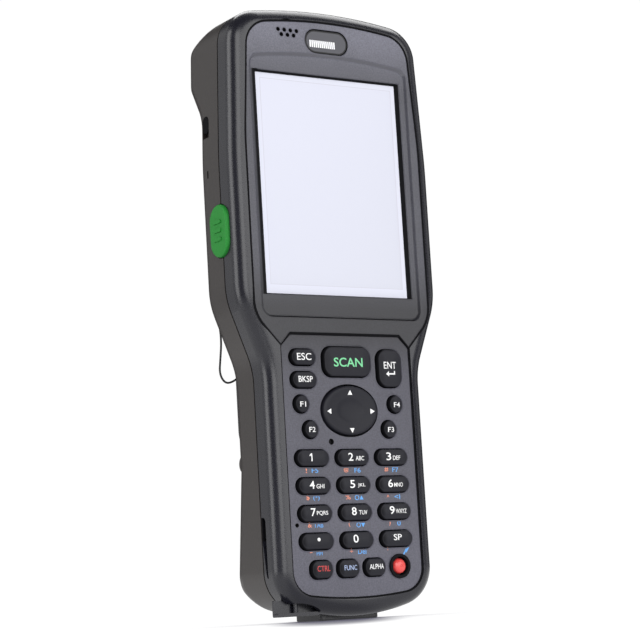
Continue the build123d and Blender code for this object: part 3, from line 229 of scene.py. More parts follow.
for number, (place, target, width, height, watts) in enumerate(SOFT_BOXES):
    soft_box = bpy.data.lights.new("soft_box_%d" % number, "AREA")
    soft_box.shape = "RECTANGLE"
    soft_box.size, soft_box.size_y, soft_box.energy = width, height, watts
    lamp = bpy.data.objects.new(soft_box.name, soft_box)
    bpy.context.collection.objects.link(lamp)
    lamp.location = place
    lamp.rotation_euler = (Vector(target) - Vector(place)).to_track_quat("-Z", "Y").to_euler()

TABLE_RADIUS, TABLE_SIDES = 0.5, 96
angle = np.linspace(0, 2 * np.pi, TABLE_SIDES, endpoint=False)
table_rim = np.stack([np.cos(angle), np.sin(angle), 0 * angle], axis=1) * TABLE_RADIUS
table_mesh = bpy.data.meshes.new("table_top")
table_mesh.from_pydata(table_rim.tolist(), [], [list(range(TABLE_SIDES))])
table_top = bpy.data.objects.new("table_top", table_mesh)
bpy.context.collection.objects.link(table_top)

# The shade on the table is an ellipse drawn towards the camera, and darker where the foot is near.
# Only a share of it holds for light that bounces, so that it doesn't darken the chin.
SHADE_AHEAD, SHADE_ASIDE = 0.055, 0.004
SHADE_HALF_LENGTH, SHADE_HALF_WIDTH, CREVICE_REACH = 0.10, 0.0175, 0.09
ELLIPSE_SHARE, CREVICE_SHARE, BOUNCE_SHARE = 0.85, 0.65, 0.5
TABLE_WHITE, TABLE_SHADE = (1.0, 1.0, 1.0), (0.06, 0.055, 0.10)
white_laminate = Finish("white laminate", Base_Color=(0.05, 0.05, 0.05), Roughness=1.0)
floor_x, floor_y, _ = white_laminate.axes()
ahead = floor_x * math.sin(CAMERA_TURN) - floor_y * math.cos(CAMERA_TURN) - SHADE_AHEAD
aside = floor_x * math.cos(CAMERA_TURN) + floor_y * math.sin(CAMERA_TURN) - SHADE_ASIDE
ahead, aside = ahead * (1 / SHADE_HALF_LENGTH), aside * (1 / SHADE_HALF_WIDTH)
off_ellipse = ahead * ahead + aside * aside
in_ellipse = (off_ellipse * off_ellipse * -1.0).math("EXPONENT")
crevice = 1 - white_laminate.node(
    "ShaderNodeAmbientOcclusion", Distance=CREVICE_REACH, settings={"samples": 12}, out="AO"
)
seen = white_laminate.node("ShaderNodeLightPath", out="Is Camera Ray")
shade = white_laminate.spread(in_ellipse * ELLIPSE_SHARE + crevice * CREVICE_SHARE, 0, 1)
shade = (seen * (1 - BOUNCE_SHARE) + BOUNCE_SHARE) * shade
table_colour = white_laminate.mix(shade, TABLE_WHITE, TABLE_SHADE)
white_laminate.set(Emission_Color=table_colour, Emission_Strength=1.0)
dress(white_laminate, table_top)

# ---------------------------------------------------------------- shared finishes and mesh helpers
# Depths are in millimetres behind one plane near the front; the two plates' faces stand before it.
# Prints stand proud of their surface.
PLATE_Y = -21.2
PLATE_FRONT, BEZEL_FRONT = -0.4, -0.9
INK_PROUD = 0.035
SHARP_ANGLE = math.radians(35)


def moulding(name, colour, roughness, grain, relief, speckle, coat=0.0, edge=0.0):
    """A moulded plastic with a spark-eroded grain: its height in millimetres and its colour's spread.
    An edge is the radius in millimetres by which the shading rounds sharp edges."""
    finish = Finish(name, Coat_Weight=coat, Coat_Roughness=0.25)
    grains = finish.noise(grain, 3, rough=0.6)
    clouds = finish.noise(60, 2)
    dark = tuple(c * (1 - speckle) for c in colour)
    light = tuple(c * (1 + speckle) for c in colour)
    finish.set(Base_Color=finish.mix(finish.spread(grains * 0.8 + clouds * 0.2, 0.3, 0.7), dark, light))
    finish.set(Roughness=finish.spread(grains, 0.2, 0.8, roughness * 0.92, roughness * 1.08))
    grained = finish.bump(grains, relief * MM)
    if edge:
        finish.soften(grained, edge * MM)
    return finish


def add_piece(name, data, finish, body):
    """A piece from mesh data, in its finish, that rides on a body."""
    piece = bpy.data.objects.new(name, data)
    bpy.context.collection.objects.link(piece)
    dress(finish, piece)
    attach(piece, body)
    return piece


def mesh_object(name, points, faces, finish, body="root"):
    """A piece from points in millimetres and faces, with its faces turned outwards."""
    mesh = bpy.data.meshes.new(name)
    mesh.from_pydata((np.asarray(points, float) * MM).tolist(), [], faces)
    shape = bmesh.new()
    shape.from_mesh(mesh)
    bmesh.ops.recalc_face_normals(shape, faces=shape.faces)
    shape.to_mesh(mesh)
    shape.free()
    mesh.polygons.foreach_set("use_smooth", [True] * len(mesh.polygons))
    mesh.set_sharp_from_angle(angle=SHARP_ANGLE)
    return add_piece(name, mesh, finish, body)


def at_depth(x, depth, z):
    """Points in the part's frame from x, depth and height arrays, in millimetres."""
    return np.stack(np.broadcast_arrays(x, PLATE_Y + np.asarray(depth), z), axis=-1)


def ring_faces(rings, count, start=0, closed=False):
    """Quads between rings of points, with the two ends filled, or the last ring joined to the first."""
    steps = np.arange(count)
    faces = []
    for ring in range(rings if closed else rings - 1):
        here, there = start + ring * count, start + (ring + 1) % rings * count
        after = (steps + 1) % count
        faces += np.stack([here + steps, here + after, there + after, there + steps], axis=1).tolist()
    if not closed:
        faces += [(start + steps).tolist(), (start + (rings - 1) * count + steps).tolist()]
    return faces


def rounded_outline(width, height, radius, inset=0.0, arc=10):
    """A rounded rectangle's outline moved inwards by an inset, as x and z arrays."""
    half_w, half_h = width / 2 - inset, height / 2 - inset
    corner = max(radius - inset, 0.02)
    turn = np.linspace(0, np.pi / 2, arc)
    x, z = [], []
    for quarter, (side_x, side_z) in enumerate(((1, 1), (-1, 1), (-1, -1), (1, -1))):
        x.append(side_x * (half_w - corner) + corner * np.cos(turn + quarter * np.pi / 2))
        z.append(side_z * (half_h - corner) + corner * np.sin(turn + quarter * np.pi / 2))
    return np.concatenate(x), np.concatenate(z)


front_shell = moulding("dark moulding", (0.010, 0.010, 0.015), 0.27, 1900, 0.006, 0.2)
rear_shell = moulding("warm dark moulding", (0.022, 0.018, 0.017), 0.38, 1900, 0.04, 0.3)
black_plastic = moulding("black moulding", (0.016, 0.016, 0.018), 0.42, 2600, 0.02, 0.1)
seal_rubber = moulding("black rubber", (0.004, 0.004, 0.005), 0.62, 1800, 0.02, 0.1)
seal_rubber.set(Specular_IOR_Level=0.06)
steel = Finish("brushed steel", Base_Color=(0.55, 0.55, 0.56), Metallic=1.0)
steel.set(Roughness=steel.spread(steel.noise(900, 3), 0.2, 0.8, 0.26, 0.42))
light_metal = Finish("matt aluminium", Base_Color=(0.62, 0.62, 0.64), Metallic=1.0)
light_metal.set(Roughness=light_metal.spread(light_metal.noise(700, 3), 0.2, 0.8, 0.38, 0.52))

# ---------------------------------------------------------------- housings
# The front shell is dark and cool, the rear one a little warmer; a rubber seal shows between them.
dress(front_shell, "front_housing")
dress(rear_shell, "rear_housing", "strap_lugs", "battery_door")
dress(seal_rubber, "housing_seal", "port_plug")
dress(steel, "housing_screws", "door_hinge_pin", "strap_bars", "tether_eyelets")
dress(steel, "nav_pivot", "side_switches")
dress(black_plastic, "lcd_carrier", "dock_foot", "stylus_sleeve")

# ---------------------------------------------------------------- face plates
# Grey satin mouldings, with painted shade in black on the window's walls, in the earpiece's holes and on
# the walls round the keys, black in the power key's collar, and light and shade painted in by height.
SCREEN_W, SCREEN_H, SCREEN_Z = 55.5, 74.1, 143.5
WALL_SIDE, WALL_TOP, WALL_FADE = 1.45, 0.65, (1.4, 0.5)
SHADE_FROM, TOP_SHADE_FROM, HOLES_FROM, KEY_WALLS_FROM = 0.6, 0.4, -0.85, -0.35
DISH_TOP, RIDGE_LOW, RIDGE_OUT, RIDGE_IN = 44.8, 40.5, -0.8, 0.12
COLLAR_X, COLLAR_Z, COLLAR_R = 16.1, 16.4, 4.02
UPPER_GREY, LOWER_GREY, RIDGE_HIGHLIGHT = (0.055, 0.055, 0.070), (0.060, 0.059, 0.079), (0.12, 0.12, 0.14)
# Black for painted shade on walls and in holes, and for the power key's collar
SHADE_AND_COLLAR_BLACK = (0.008, 0.008, 0.009)


def inside_box(finish, half_w, half_h, centre_z):
    """1 inside an upright rectangle in the front view, 0 outside, for the object's own coordinates."""
    across, _, up = finish.axes()
    return (abs(across) < half_w * MM) * (abs(up - centre_z * MM) < half_h * MM)


def shaded_by_height(finish, *stops):
    """Paints light and shade into a colour by height: each stop is a height in millimetres and a factor.
    """
    _, _, up = finish.axes()
    factor = stops[0][1]
    for (low, before), (high, after) in zip(stops, stops[1:]):
        factor = factor + finish.spread(up, low * MM, high * MM, 0.0, after - before)
    plain, scaling = finish.colour_now(), {"operation": "SCALE"}
    finish.set(Base_Color=finish.node("ShaderNodeVectorMath", plain, Scale=factor, settings=scaling))


upper_grey = moulding("satin grey", UPPER_GREY, 0.42, 2000, 0.06, 0.35, edge=0.8)
lower_grey = moulding("satin grey, keypad", LOWER_GREY, 0.42, 2000, 0.06, 0.35)
# Painted light and shade: the bezel darker low down and lighter at its top, the keypad plate lighter low
# down and darker at its top
shaded_by_height(upper_grey, (102, 0.3), (118, 1.0), (178, 1.0), (196, 2.2))
shaded_by_height(lower_grey, (25, 1.2), (50, 1.0), (78, 0.95), (95, 0.2))

# The keypad plate's black: a disc under the power key, and painted shade on the walls of the key holes
plate_x, plate_y, plate_z = lower_grey.axes()
collar_x, collar_z = plate_x - COLLAR_X * MM, plate_z - COLLAR_Z * MM
collar = (collar_x * collar_x + collar_z * collar_z) ** 0.5 < COLLAR_R * MM
lower_grey.cover(collar | (plate_y > (PLATE_Y + KEY_WALLS_FROM) * MM), SHADE_AND_COLLAR_BLACK)

# Painted shade in black on the bezel: the window's left and top walls, what is deeper on its right, the
# holes
bezel_x, bezel_y, bezel_z = upper_grey.axes()
bezel_depth, above_middle = bezel_y - PLATE_Y * MM, bezel_z - SCREEN_Z * MM
WALL_OUT, LEFT_WALL = SCREEN_W / 2 + WALL_SIDE, -SCREEN_W / 2
window = upper_grey.spread(bezel_x, *(-(WALL_OUT + fade) * MM for fade in WALL_FADE))
window = window * (bezel_x < WALL_OUT * MM) * (abs(above_middle) < (SCREEN_H / 2 + WALL_TOP) * MM)
below_face = (bezel_depth > TOP_SHADE_FROM * MM) * (bezel_x < SCREEN_W / 2 * MM)
below_face = below_face | (bezel_x < LEFT_WALL * MM) | (bezel_depth > SHADE_FROM * MM)
holes = (bezel_depth > HOLES_FROM * MM) * (abs(above_middle) > DISH_TOP * MM)
upper_grey.cover(window * below_face + holes, SHADE_AND_COLLAR_BLACK)

# Painted highlight: the dish's upper slope is painted lighter where it catches the light
ridge_highlight = (bezel_depth > RIDGE_OUT * MM) * (bezel_depth < RIDGE_IN * MM)
ridge_highlight = ridge_highlight * (above_middle > RIDGE_LOW * MM) * (above_middle < DISH_TOP * MM)
upper_grey.set(Base_Color=upper_grey.mix(ridge_highlight, upper_grey.colour_now(), RIDGE_HIGHLIGHT))
dress(upper_grey, "display_bezel")
dress(lower_grey, "keypad_plate")

# How far a shade line's section reaches, and what counts as a plate's front face
SHADE_LINE_HALF_W, SHADE_LINE_HALF_D, SHADE_LINE_SIDES = 0.42, 0.18, 8
FACES_FRONT, SAME_DEPTH = -0.995, 0.05


def rim_shade_line(name, node, face_depth, line_depth, out):
    """A line in the black rubber finish that fills the joint round a plate, along the outer rim of its
    front face, as painted shade of the gap. It lies at a depth of its own, a distance outside the rim."""
    mesh = NODES[node].data
    uses = {}
    for face in mesh.polygons:
        depth = mesh.vertices[face.vertices[0]].co.y / MM - PLATE_Y
        if face.normal.y < FACES_FRONT and abs(depth - face_depth) < SAME_DEPTH:
            for edge in face.edge_keys:
                uses[edge] = uses.get(edge, 0) + 1
    beside_it = {}
    for (first, second), count in uses.items():
        if count == 1:
            beside_it.setdefault(first, []).append(second)
            beside_it.setdefault(second, []).append(first)
    loop = [min(beside_it, key=lambda corner: mesh.vertices[corner].co.z)]
    loop.append(beside_it[loop[0]][0])
    while loop[-1] != loop[0]:
        loop.append(next(corner for corner in beside_it[loop[-1]] if corner != loop[-2]))
    rim = np.array([mesh.vertices[corner].co[:] for corner in loop[:-1]])[:, [0, 2]] / MM
    step = np.roll(rim, -1, axis=0) - np.roll(rim, 1, axis=0)
    side = np.stack([step[:, 1], -step[:, 0]], axis=1) / np.hypot(step[:, 0], step[:, 1])[:, None]
    after = np.roll(rim, -1, axis=0)
    side *= np.sign(np.sum(rim[:, 0] * after[:, 1] - after[:, 0] * rim[:, 1]))
    turn = np.linspace(0, 2 * np.pi, SHADE_LINE_SIDES, endpoint=False)
    rings = []
    for place, way in zip(rim + side * out, side):
        reach = SHADE_LINE_HALF_W * np.cos(turn)
        depth = line_depth + SHADE_LINE_HALF_D * np.sin(turn)
        rings.append(at_depth(place[0] + reach * way[0], depth, place[1] + reach * way[1]))
    rings.append(rings[0])
    mesh_object(name, np.concatenate(rings), ring_faces(len(rings), SHADE_LINE_SIDES), seal_rubber)


# Black lines in the plates' joints: painted shade of the gaps
rim_shade_line("bezel_shade_line", "display_bezel", BEZEL_FRONT, -0.88, 0.2)
rim_shade_line("keypad_shade_line", "keypad_plate", PLATE_FRONT, -0.50, 0.15)

# ---------------------------------------------------------------- display
# An unlit display that reflects a white room: pale lavender, paler towards its upper left corner as a
# painted reflection, with the active area's faint border, and a faint glow of painted light.
ACTIVE_HALF_W, ACTIVE_HALF_H, ACTIVE_Z, BORDER = 26.2, 34.7, 144.1, 0.22
FIELD_LOW, FIELD_HIGH = (0.435, 0.445, 0.515), (0.485, 0.495, 0.585)
MARGIN_PALE, BORDER_GREY = (0.485, 0.495, 0.58), (0.405, 0.405, 0.475)
pane = Finish("pale display", Roughness=0.22, Coat_Weight=0.4, Coat_Roughness=0.04)
outer = inside_box(pane, ACTIVE_HALF_W, ACTIVE_HALF_H, ACTIVE_Z)
inner = inside_box(pane, ACTIVE_HALF_W - BORDER, ACTIVE_HALF_H - BORDER, ACTIVE_Z)
pane_x, _, pane_z = pane.axes()
# Painted reflection: paler towards the upper left corner
painted_reflection = pane.spread(pane_z - pane_x * 0.6, 0.09, 0.2)
field = pane.mix(painted_reflection, FIELD_LOW, FIELD_HIGH)
margin = pane.mix(outer - inner, MARGIN_PALE, BORDER_GREY)
pane_colour = pane.mix(inner, margin, field)
# The display's faint glow is painted light
pane.set(Base_Color=pane_colour, Emission_Color=pane_colour, Emission_Strength=0.15)
dress(pane, "touch_panel")

# ---------------------------------------------------------------- indicator
# A smoked obround in a black rim, with a ribbed white light pipe behind it, whose faint glow is painted
# light.
LAMP_W, LAMP_H, LAMP_X, LAMP_Z, LAMP_RIM, LAMP_FRONT = 16.8, 8.0, -0.6, 192.5, 0.6, -0.7
LENS_GREY, RIM_BLACK = (0.07, 0.07, 0.082), (0.002, 0.002, 0.003)
smoke = Finish("smoked lens", Roughness=0.35, Specular_IOR_Level=0.3)
lens_x, _, lens_z = smoke.axes()
above_lamp = lens_z - LAMP_Z * MM
past_straight = (abs(lens_x - LAMP_X * MM) - (LAMP_W - LAMP_H) / 2 * MM) | 0.0
off_lamp = (past_straight * past_straight + above_lamp * above_lamp) ** 0.5
smoke.set(Base_Color=smoke.mix(off_lamp > (LAMP_H / 2 - LAMP_RIM) * MM, LENS_GREY, RIM_BLACK))
dress(smoke, "indicator_lens")

white_pipe = Finish("white light pipe", Base_Color=(0.85, 0.85, 0.88))
# The pipe's faint glow is painted light
white_pipe.set(Emission_Color=(1, 1, 1), Emission_Strength=0.15)
white_pipe.set(Roughness=white_pipe.spread(white_pipe.noise(500), 0, 1, 0.25, 0.4))
PIPE_LEFT, PIPE_RIGHT, PIPE_LOW, PIPE_HIGH = -7.4, 2.9, 190.4, 192.9
RIBS, RIB_W, RIB_ROUND, RIB_DEEP = 13, 0.46, 0.22, 0.3
ring_x, ring_z = rounded_outline(RIB_W, PIPE_HIGH - PIPE_LOW, RIB_ROUND, arc=5)
pipe_points, pipe_faces = [], []
for rib in range(RIBS):
    middle = PIPE_LEFT + (rib + 0.5) * (PIPE_RIGHT - PIPE_LEFT) / RIBS
    for depth in (LAMP_FRONT + RIB_DEEP, LAMP_FRONT - INK_PROUD):
        pipe_points.append(at_depth(middle + ring_x, depth, (PIPE_LOW + PIPE_HIGH) / 2 + ring_z))
    pipe_faces += ring_faces(2, len(ring_x), rib * 2 * len(ring_x))
mesh_object("light_pipe", np.concatenate(pipe_points), pipe_faces, white_pipe)

# ---------------------------------------------------------------- keys
# Domed silicone keys on the CAD keys' outlines: a flange, a wall, a rounded shoulder and a crown.
# A key's shape is its width, height and corner radius.
KEY_BACK, KEY_FLANGE_FRONT, KEY_FLANGE = 3.7, 2.9, 0.6
KEY_FRONT, SHOULDER, CROWN = -1.9, 0.7, 0.28
POWER_SHOULDER, POWER_CROWN = 2.0, 0.3
DIGIT_X, DIGIT_Z, DIGIT_STEP_X, DIGIT_STEP_Z = -0.35, 52.3, 15.5, 8.95
DIGIT, SIDE, MODE = (12.7, 5.2, 2.6), (9.7, 5.2, 2.6), (8.3, 5.7, 2.45)
ROUND, SCAN, ENTER, POWER = (5.7, 5.7, 2.85), (18.7, 9.8, 3.4), (9.7, 12.5, 3.4), (5.0, 5.0, 2.5)
KEYS = {
    "key_esc": (SIDE, -17.35, 85.2),
    "key_bksp": (SIDE, -17.35, 77.8),
    "key_scan": (SCAN, -0.35, 83.9),
    "key_enter": (ENTER, 16.45, 81.9),
    "key_f1": (ROUND, -18.75, 69.9),
    "key_f2": (ROUND, -15.75, 61.6),
    "key_f3": (ROUND, 15.05, 61.6),
    "key_f4": (ROUND, 18.05, 69.9),
    "key_ctrl": (MODE, -14.65, 16.4),
    "key_func": (MODE, -4.4, 16.4),
    "key_alpha": (MODE, 5.85, 16.4),
    "key_power": (POWER, 16.1, 16.4),
}
for number, digit in enumerate(("1", "2", "3", "4", "5", "6", "7", "8", "9", "point", "0", "space")):
    row, column = divmod(number, 3)
    KEYS["key_" + digit] = (DIGIT, DIGIT_X + (column - 1) * DIGIT_STEP_X, DIGIT_Z - row * DIGIT_STEP_Z)

# Dark silicone; on the keys what faces left and the wall under the shoulder are painted black as shade.
SILICONE, KEY_SHADE_BLACK, SILICONE_SHINE = (0.011, 0.011, 0.016), (0.003, 0.003, 0.004), 0.22
WALL_SHADE_STARTS, LEFT_SIDE_SHADE = (0.22, 0.6), (0.03, 0.32)
silicone = moulding("dark silicone", SILICONE, 0.46, 1800, 0.012, 0.1)
silicone.set(Specular_IOR_Level=SILICONE_SHINE)
pad_silicone = moulding("dark silicone, pad", SILICONE, 0.46, 1800, 0.012, 0.1)
pad_silicone.set(Specular_IOR_Level=SILICONE_SHINE)
_, key_y, _ = silicone.axes()
facing_x, _, _ = silicone.axes("Normal")
wall_shade = silicone.spread(key_y, *((PLATE_Y + KEY_FRONT + CROWN + drop) * MM for drop in WALL_SHADE_STARTS))
# Painted shade on the keys' walls and left sides
silicone.cover(wall_shade | silicone.spread(facing_x * -1.0, *LEFT_SIDE_SHADE), KEY_SHADE_BLACK)
red_silicone = moulding("red silicone", (0.66, 0.055, 0.05), 0.34, 1800, 0.01, 0.08, 0.4)


def key_dome(name):
    """The width of a key's shoulder, the height of its crown, and half its smaller side."""
    shape = KEYS[name][0]
    half = min(shape[0], shape[1]) / 2
    return (POWER_SHOULDER, POWER_CROWN, half) if name == "key_power" else (SHOULDER, CROWN, half)


def key_depth(name, inset):
    """The depth of a key's top at a distance inside its outline."""
    shoulder, crown, half = key_dome(name)
    inset = np.asarray(inset, float)
    rim = np.clip(inset / shoulder, 0, 1)
    climb = shoulder * 0.8 * (1 - np.sqrt(1 - (1 - rim) ** 2))
    dome = 1 - np.clip((inset - shoulder) / max(half - shoulder, 0.1), 0, 1)
    return KEY_FRONT + climb + crown * dome**2


def inside_key(shape, x, z):
    """How far inside a key's outline a point lies, from its place beside the key's middle."""
    over_x = np.abs(x) - (shape[0] / 2 - shape[2])
    over_z = np.abs(z) - (shape[1] / 2 - shape[2])
    outside = np.hypot(np.maximum(over_x, 0), np.maximum(over_z, 0))
    return shape[2] - outside - np.minimum(np.maximum(over_x, over_z), 0)


DOME_RINGS, DOME_TIP = 9, 0.03
for name, (shape, x, z) in KEYS.items():
    shoulder, _, half = key_dome(name)
    bend = shoulder * (1 - np.cos(np.linspace(0, np.pi / 2, DOME_RINGS)))
    insets = np.concatenate([bend, np.linspace(shoulder, half - DOME_TIP, DOME_RINGS)[1:]])
    stack = [(-KEY_FLANGE, KEY_BACK), (-KEY_FLANGE, KEY_FLANGE_FRONT), (0, KEY_FLANGE_FRONT)]
    stack += [(inset, key_depth(name, inset)) for inset in insets]
    points = []
    for inset, depth in stack:
        ring_x, ring_z = rounded_outline(*shape, inset)
        points.append(at_depth(x + ring_x, depth, z + ring_z))
    finish = red_silicone if name == "key_power" else silicone
    faces = ring_faces(len(stack), len(ring_x))
    dome = mesh_object("dome_" + name, np.concatenate(points), faces, finish, name)
    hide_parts(name)

# Softly raised lips round the holes of the keypad plate: each profile point is an inset and a depth
LIP_PROFILE = ((-0.3, 0.6), (-0.3, -0.42), (-0.42, -0.52), (-0.62, -0.5), (-0.85, -0.395), (-0.85, 0.6))
lip_points, lip_faces, used = [], [], 0
for name, (shape, x, z) in KEYS.items():
    if name != "key_power":
        for inset, depth in LIP_PROFILE:
            ring_x, ring_z = rounded_outline(*shape, inset)
            lip_points.append(at_depth(x + ring_x, depth, z + ring_z))
        lip_faces += ring_faces(len(LIP_PROFILE), len(ring_x), used, closed=True)
        used += len(LIP_PROFILE) * len(ring_x)
mesh_object("key_hole_lips", np.concatenate(lip_points), lip_faces, lower_grey)

# ---------------------------------------------------------------- direction pad
# One ellipse, dished round a smooth middle, with a printed triangle for each direction.
NAV_W, NAV_H, NAV_Z, NAV_SIDES = 21.4, 16.3, 67.8, 72
NAV_BACK, NAV_FLANGE_FRONT, NAV_FLANGE = 4.0, 3.4, 1.1
NAV_RINGS = (
    # share of the full ellipse, depth
    (1.0, -0.8),
    (0.985, -1.15),
    (0.955, -1.38),
    (0.92, -1.48),
    (0.88, -1.5),
    (0.8, -1.42),
    (0.68, -1.3),
    (0.56, -1.22),
    (0.5, -1.2),
    (0.46, -1.12),
    (0.4, -0.98),
    (0.3, -0.86),
    (0.15, -0.8),
    (0.01, -0.79),
)
turn = np.linspace(0, 2 * np.pi, NAV_SIDES, endpoint=False)
stack = [(1, NAV_FLANGE, NAV_BACK), (1, NAV_FLANGE, NAV_FLANGE_FRONT), (1, 0, NAV_FLANGE_FRONT)]
stack += [(share, 0, depth) for share, depth in NAV_RINGS]
points = []
for share, past_rim, depth in stack:
    half_w, half_h = NAV_W / 2 * share + past_rim, NAV_H / 2 * share + past_rim
    points.append(at_depth(half_w * np.cos(turn), depth, NAV_Z + half_h * np.sin(turn)))
faces = ring_faces(len(stack), NAV_SIDES)
nav = mesh_object("nav_dish", np.concatenate(points), faces, pad_silicone, "nav_pad")
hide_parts("nav_pad")
nav_shares, nav_depths = np.array(NAV_RINGS)[::-1].T


def nav_depth(x, z):
    """The depth of the direction pad's top."""
    share = np.hypot(np.asarray(x) / (NAV_W / 2), (np.asarray(z) - NAV_Z) / (NAV_H / 2))
    return np.interp(share, nav_shares, nav_depths)


# ---------------------------------------------------------------- lettering
# Every legend is a thin solid of its own, bent over the crown it is printed on. It is cut on a grid
# for that, reaches a little into the crown, and its strokes are made bolder by a share of the type.
GRID, PRINT_DEEP = 0.5, 0.1
SCAN_BOLD, DIGIT_BOLD, WORD_BOLD = 0.012, 0.008, 0.004
INK = {
    "white": (0.78, 0.78, 0.78),
    "green": (0.16, 0.562, 0.272),
    "red": (0.5, 0.035, 0.035),
    "pale blue": (0.34, 0.42, 0.62),
    "orange": (0.72, 0.24, 0.14),
    "blue": (0.09, 0.32, 0.72),
}
inks = {}
for colour_name, colour in INK.items():
    ink = Finish(colour_name + " print", Base_Color=colour)
    ink.set(Roughness=ink.spread(ink.noise(2500, 2), 0.2, 0.8, 0.36, 0.54))
    inks[colour_name] = ink


def printed(name, shape, finish, body, surface):
    """Cuts a flat solid on a grid, lays it on a surface and makes it a piece. Its x and y are x and z."""
    for axis, normal in enumerate(((1, 0, 0), (0, 1, 0))):
        spots = [vertex.co[axis] for vertex in shape.verts]
        low, high = min(spots), max(spots)
        for step in np.arange(math.ceil(low / GRID) * GRID, high, GRID):
            parts = shape.verts[:] + shape.edges[:] + shape.faces[:]
            place = tuple(step * n for n in normal)
            bmesh.ops.bisect_plane(shape, geom=parts, dist=1e-5, plane_co=place, plane_no=normal)
    for vertex in shape.verts:
        x, z, front = vertex.co.x, vertex.co.y, vertex.co.z > 0
        depth = float(surface(x, z)) + (-INK_PROUD if front else PRINT_DEEP)
        vertex.co = Vector((x, PLATE_Y + depth, z)) * MM
    bmesh.ops.recalc_face_normals(shape, faces=shape.faces)
    mesh = bpy.data.meshes.new(name)
    shape.to_mesh(mesh)
    shape.free()
    add_piece(name, mesh, finish, body)


def lettering(name, words, x, z, width, height, finish, body, surface, bold):
    """Words set to a width and height about their middle."""
    text = bpy.data.curves.new(name, "FONT")
    text.body, text.extrude, text.offset, text.resolution_u = words, PRINT_DEEP, bold, 4
    holder = bpy.data.objects.new(name + "_text", text)
    bpy.context.collection.objects.link(holder)
    bpy.context.view_layer.update()
    flat = bpy.data.meshes.new_from_object(holder.evaluated_get(bpy.context.evaluated_depsgraph_get()))
    bpy.data.objects.remove(holder)
    shape = bmesh.new()
    shape.from_mesh(flat)
    bmesh.ops.remove_doubles(shape, verts=shape.verts, dist=1e-5)
    corners = np.array([v.co for v in shape.verts])
    low, high = corners.min(0), corners.max(0)
    for vertex in shape.verts:
        vertex.co.x = x + ((vertex.co.x - low[0]) / (high[0] - low[0]) - 0.5) * width
        vertex.co.y = z + ((vertex.co.y - low[1]) / (high[1] - low[1]) - 0.5) * height
    printed(name, shape, finish, body, surface)


def polygon_print(name, corners, finish, body, surface):
    """A flat many-sided print from its corners in the front view."""
    shape = bmesh.new()
    count = len(corners)
    rims = [[shape.verts.new((x, z, side)) for x, z in corners] for side in (-PRINT_DEEP, PRINT_DEEP)]
    for rim in rims:
        shape.faces.new(rim)
    for step in range(count):
        after = (step + 1) % count
        shape.faces.new((rims[0][step], rims[0][after], rims[1][after], rims[1][step]))
    printed(name, shape, finish, body, surface)


KEY_PRINTS = (
    # key, words, middle x and z, width, height, ink
    ("key_esc", "ESC", -17.2, 85.3, 5.5, 2.3, "white"),
    ("key_bksp", "BKSP", -17.1, 77.95, 5.4, 2.0, "white"),
    ("key_scan", "SCAN", -0.2, 83.65, 11.3, 3.0, "green"),
    ("key_enter", "ENT", 16.4, 82.9, 4.9, 2.3, "white"),
    ("key_f1", "F1", -18.6, 69.75, 2.2, 1.65, "white"),
    ("key_f2", "F2", -15.6, 61.5, 2.4, 1.65, "white"),
    ("key_f3", "F3", 15.25, 61.4, 2.4, 1.65, "white"),
    ("key_f4", "F4", 18.25, 69.7, 2.4, 1.65, "white"),
    ("key_2", "2", -1.4, 52.5, 1.85, 2.6, "white"),
    ("key_2", "ABC", 2.1, 52.0, 3.3, 1.45, "white"),
    ("key_3", "3", 13.6, 52.5, 1.85, 2.6, "white"),
    ("key_3", "DEF", 16.7, 52.0, 2.9, 1.4, "white"),
    ("key_4", "4", -16.95, 43.6, 1.9, 2.6, "white"),
    ("key_4", "GHI", -13.85, 43.1, 3.0, 1.4, "white"),
    ("key_5", "5", -1.35, 43.6, 1.85, 2.6, "white"),
    ("key_5", "JKL", 2.15, 43.1, 2.9, 1.4, "white"),
    ("key_6", "6", 13.65, 43.6, 1.9, 2.6, "white"),
    ("key_6", "MNO", 16.8, 43.1, 3.5, 1.4, "white"),
    ("key_7", "7", -17.05, 34.8, 1.85, 2.6, "white"),
    ("key_7", "PQRS", -13.65, 34.4, 4.3, 1.5, "white"),
    ("key_8", "8", -1.35, 34.75, 1.85, 2.6, "white"),
    ("key_8", "TUV", 2.1, 34.3, 3.2, 1.4, "white"),
    ("key_9", "9", 13.65, 34.75, 1.9, 2.6, "white"),
    ("key_9", "WXYZ", 17.2, 34.4, 4.3, 1.4, "white"),
    ("key_0", "0", -1.3, 25.85, 1.95, 2.6, "white"),
    ("key_space", "SP", 15.2, 25.85, 3.2, 2.0, "white"),
    ("key_ctrl", "CTRL", -14.3, 16.7, 4.9, 1.8, "red"),
    ("key_func", "FUNC", -3.95, 16.6, 4.9, 1.6, "pale blue"),
    ("key_alpha", "ALPHA", 6.2, 16.6, 5.6, 1.6, "white"),
)
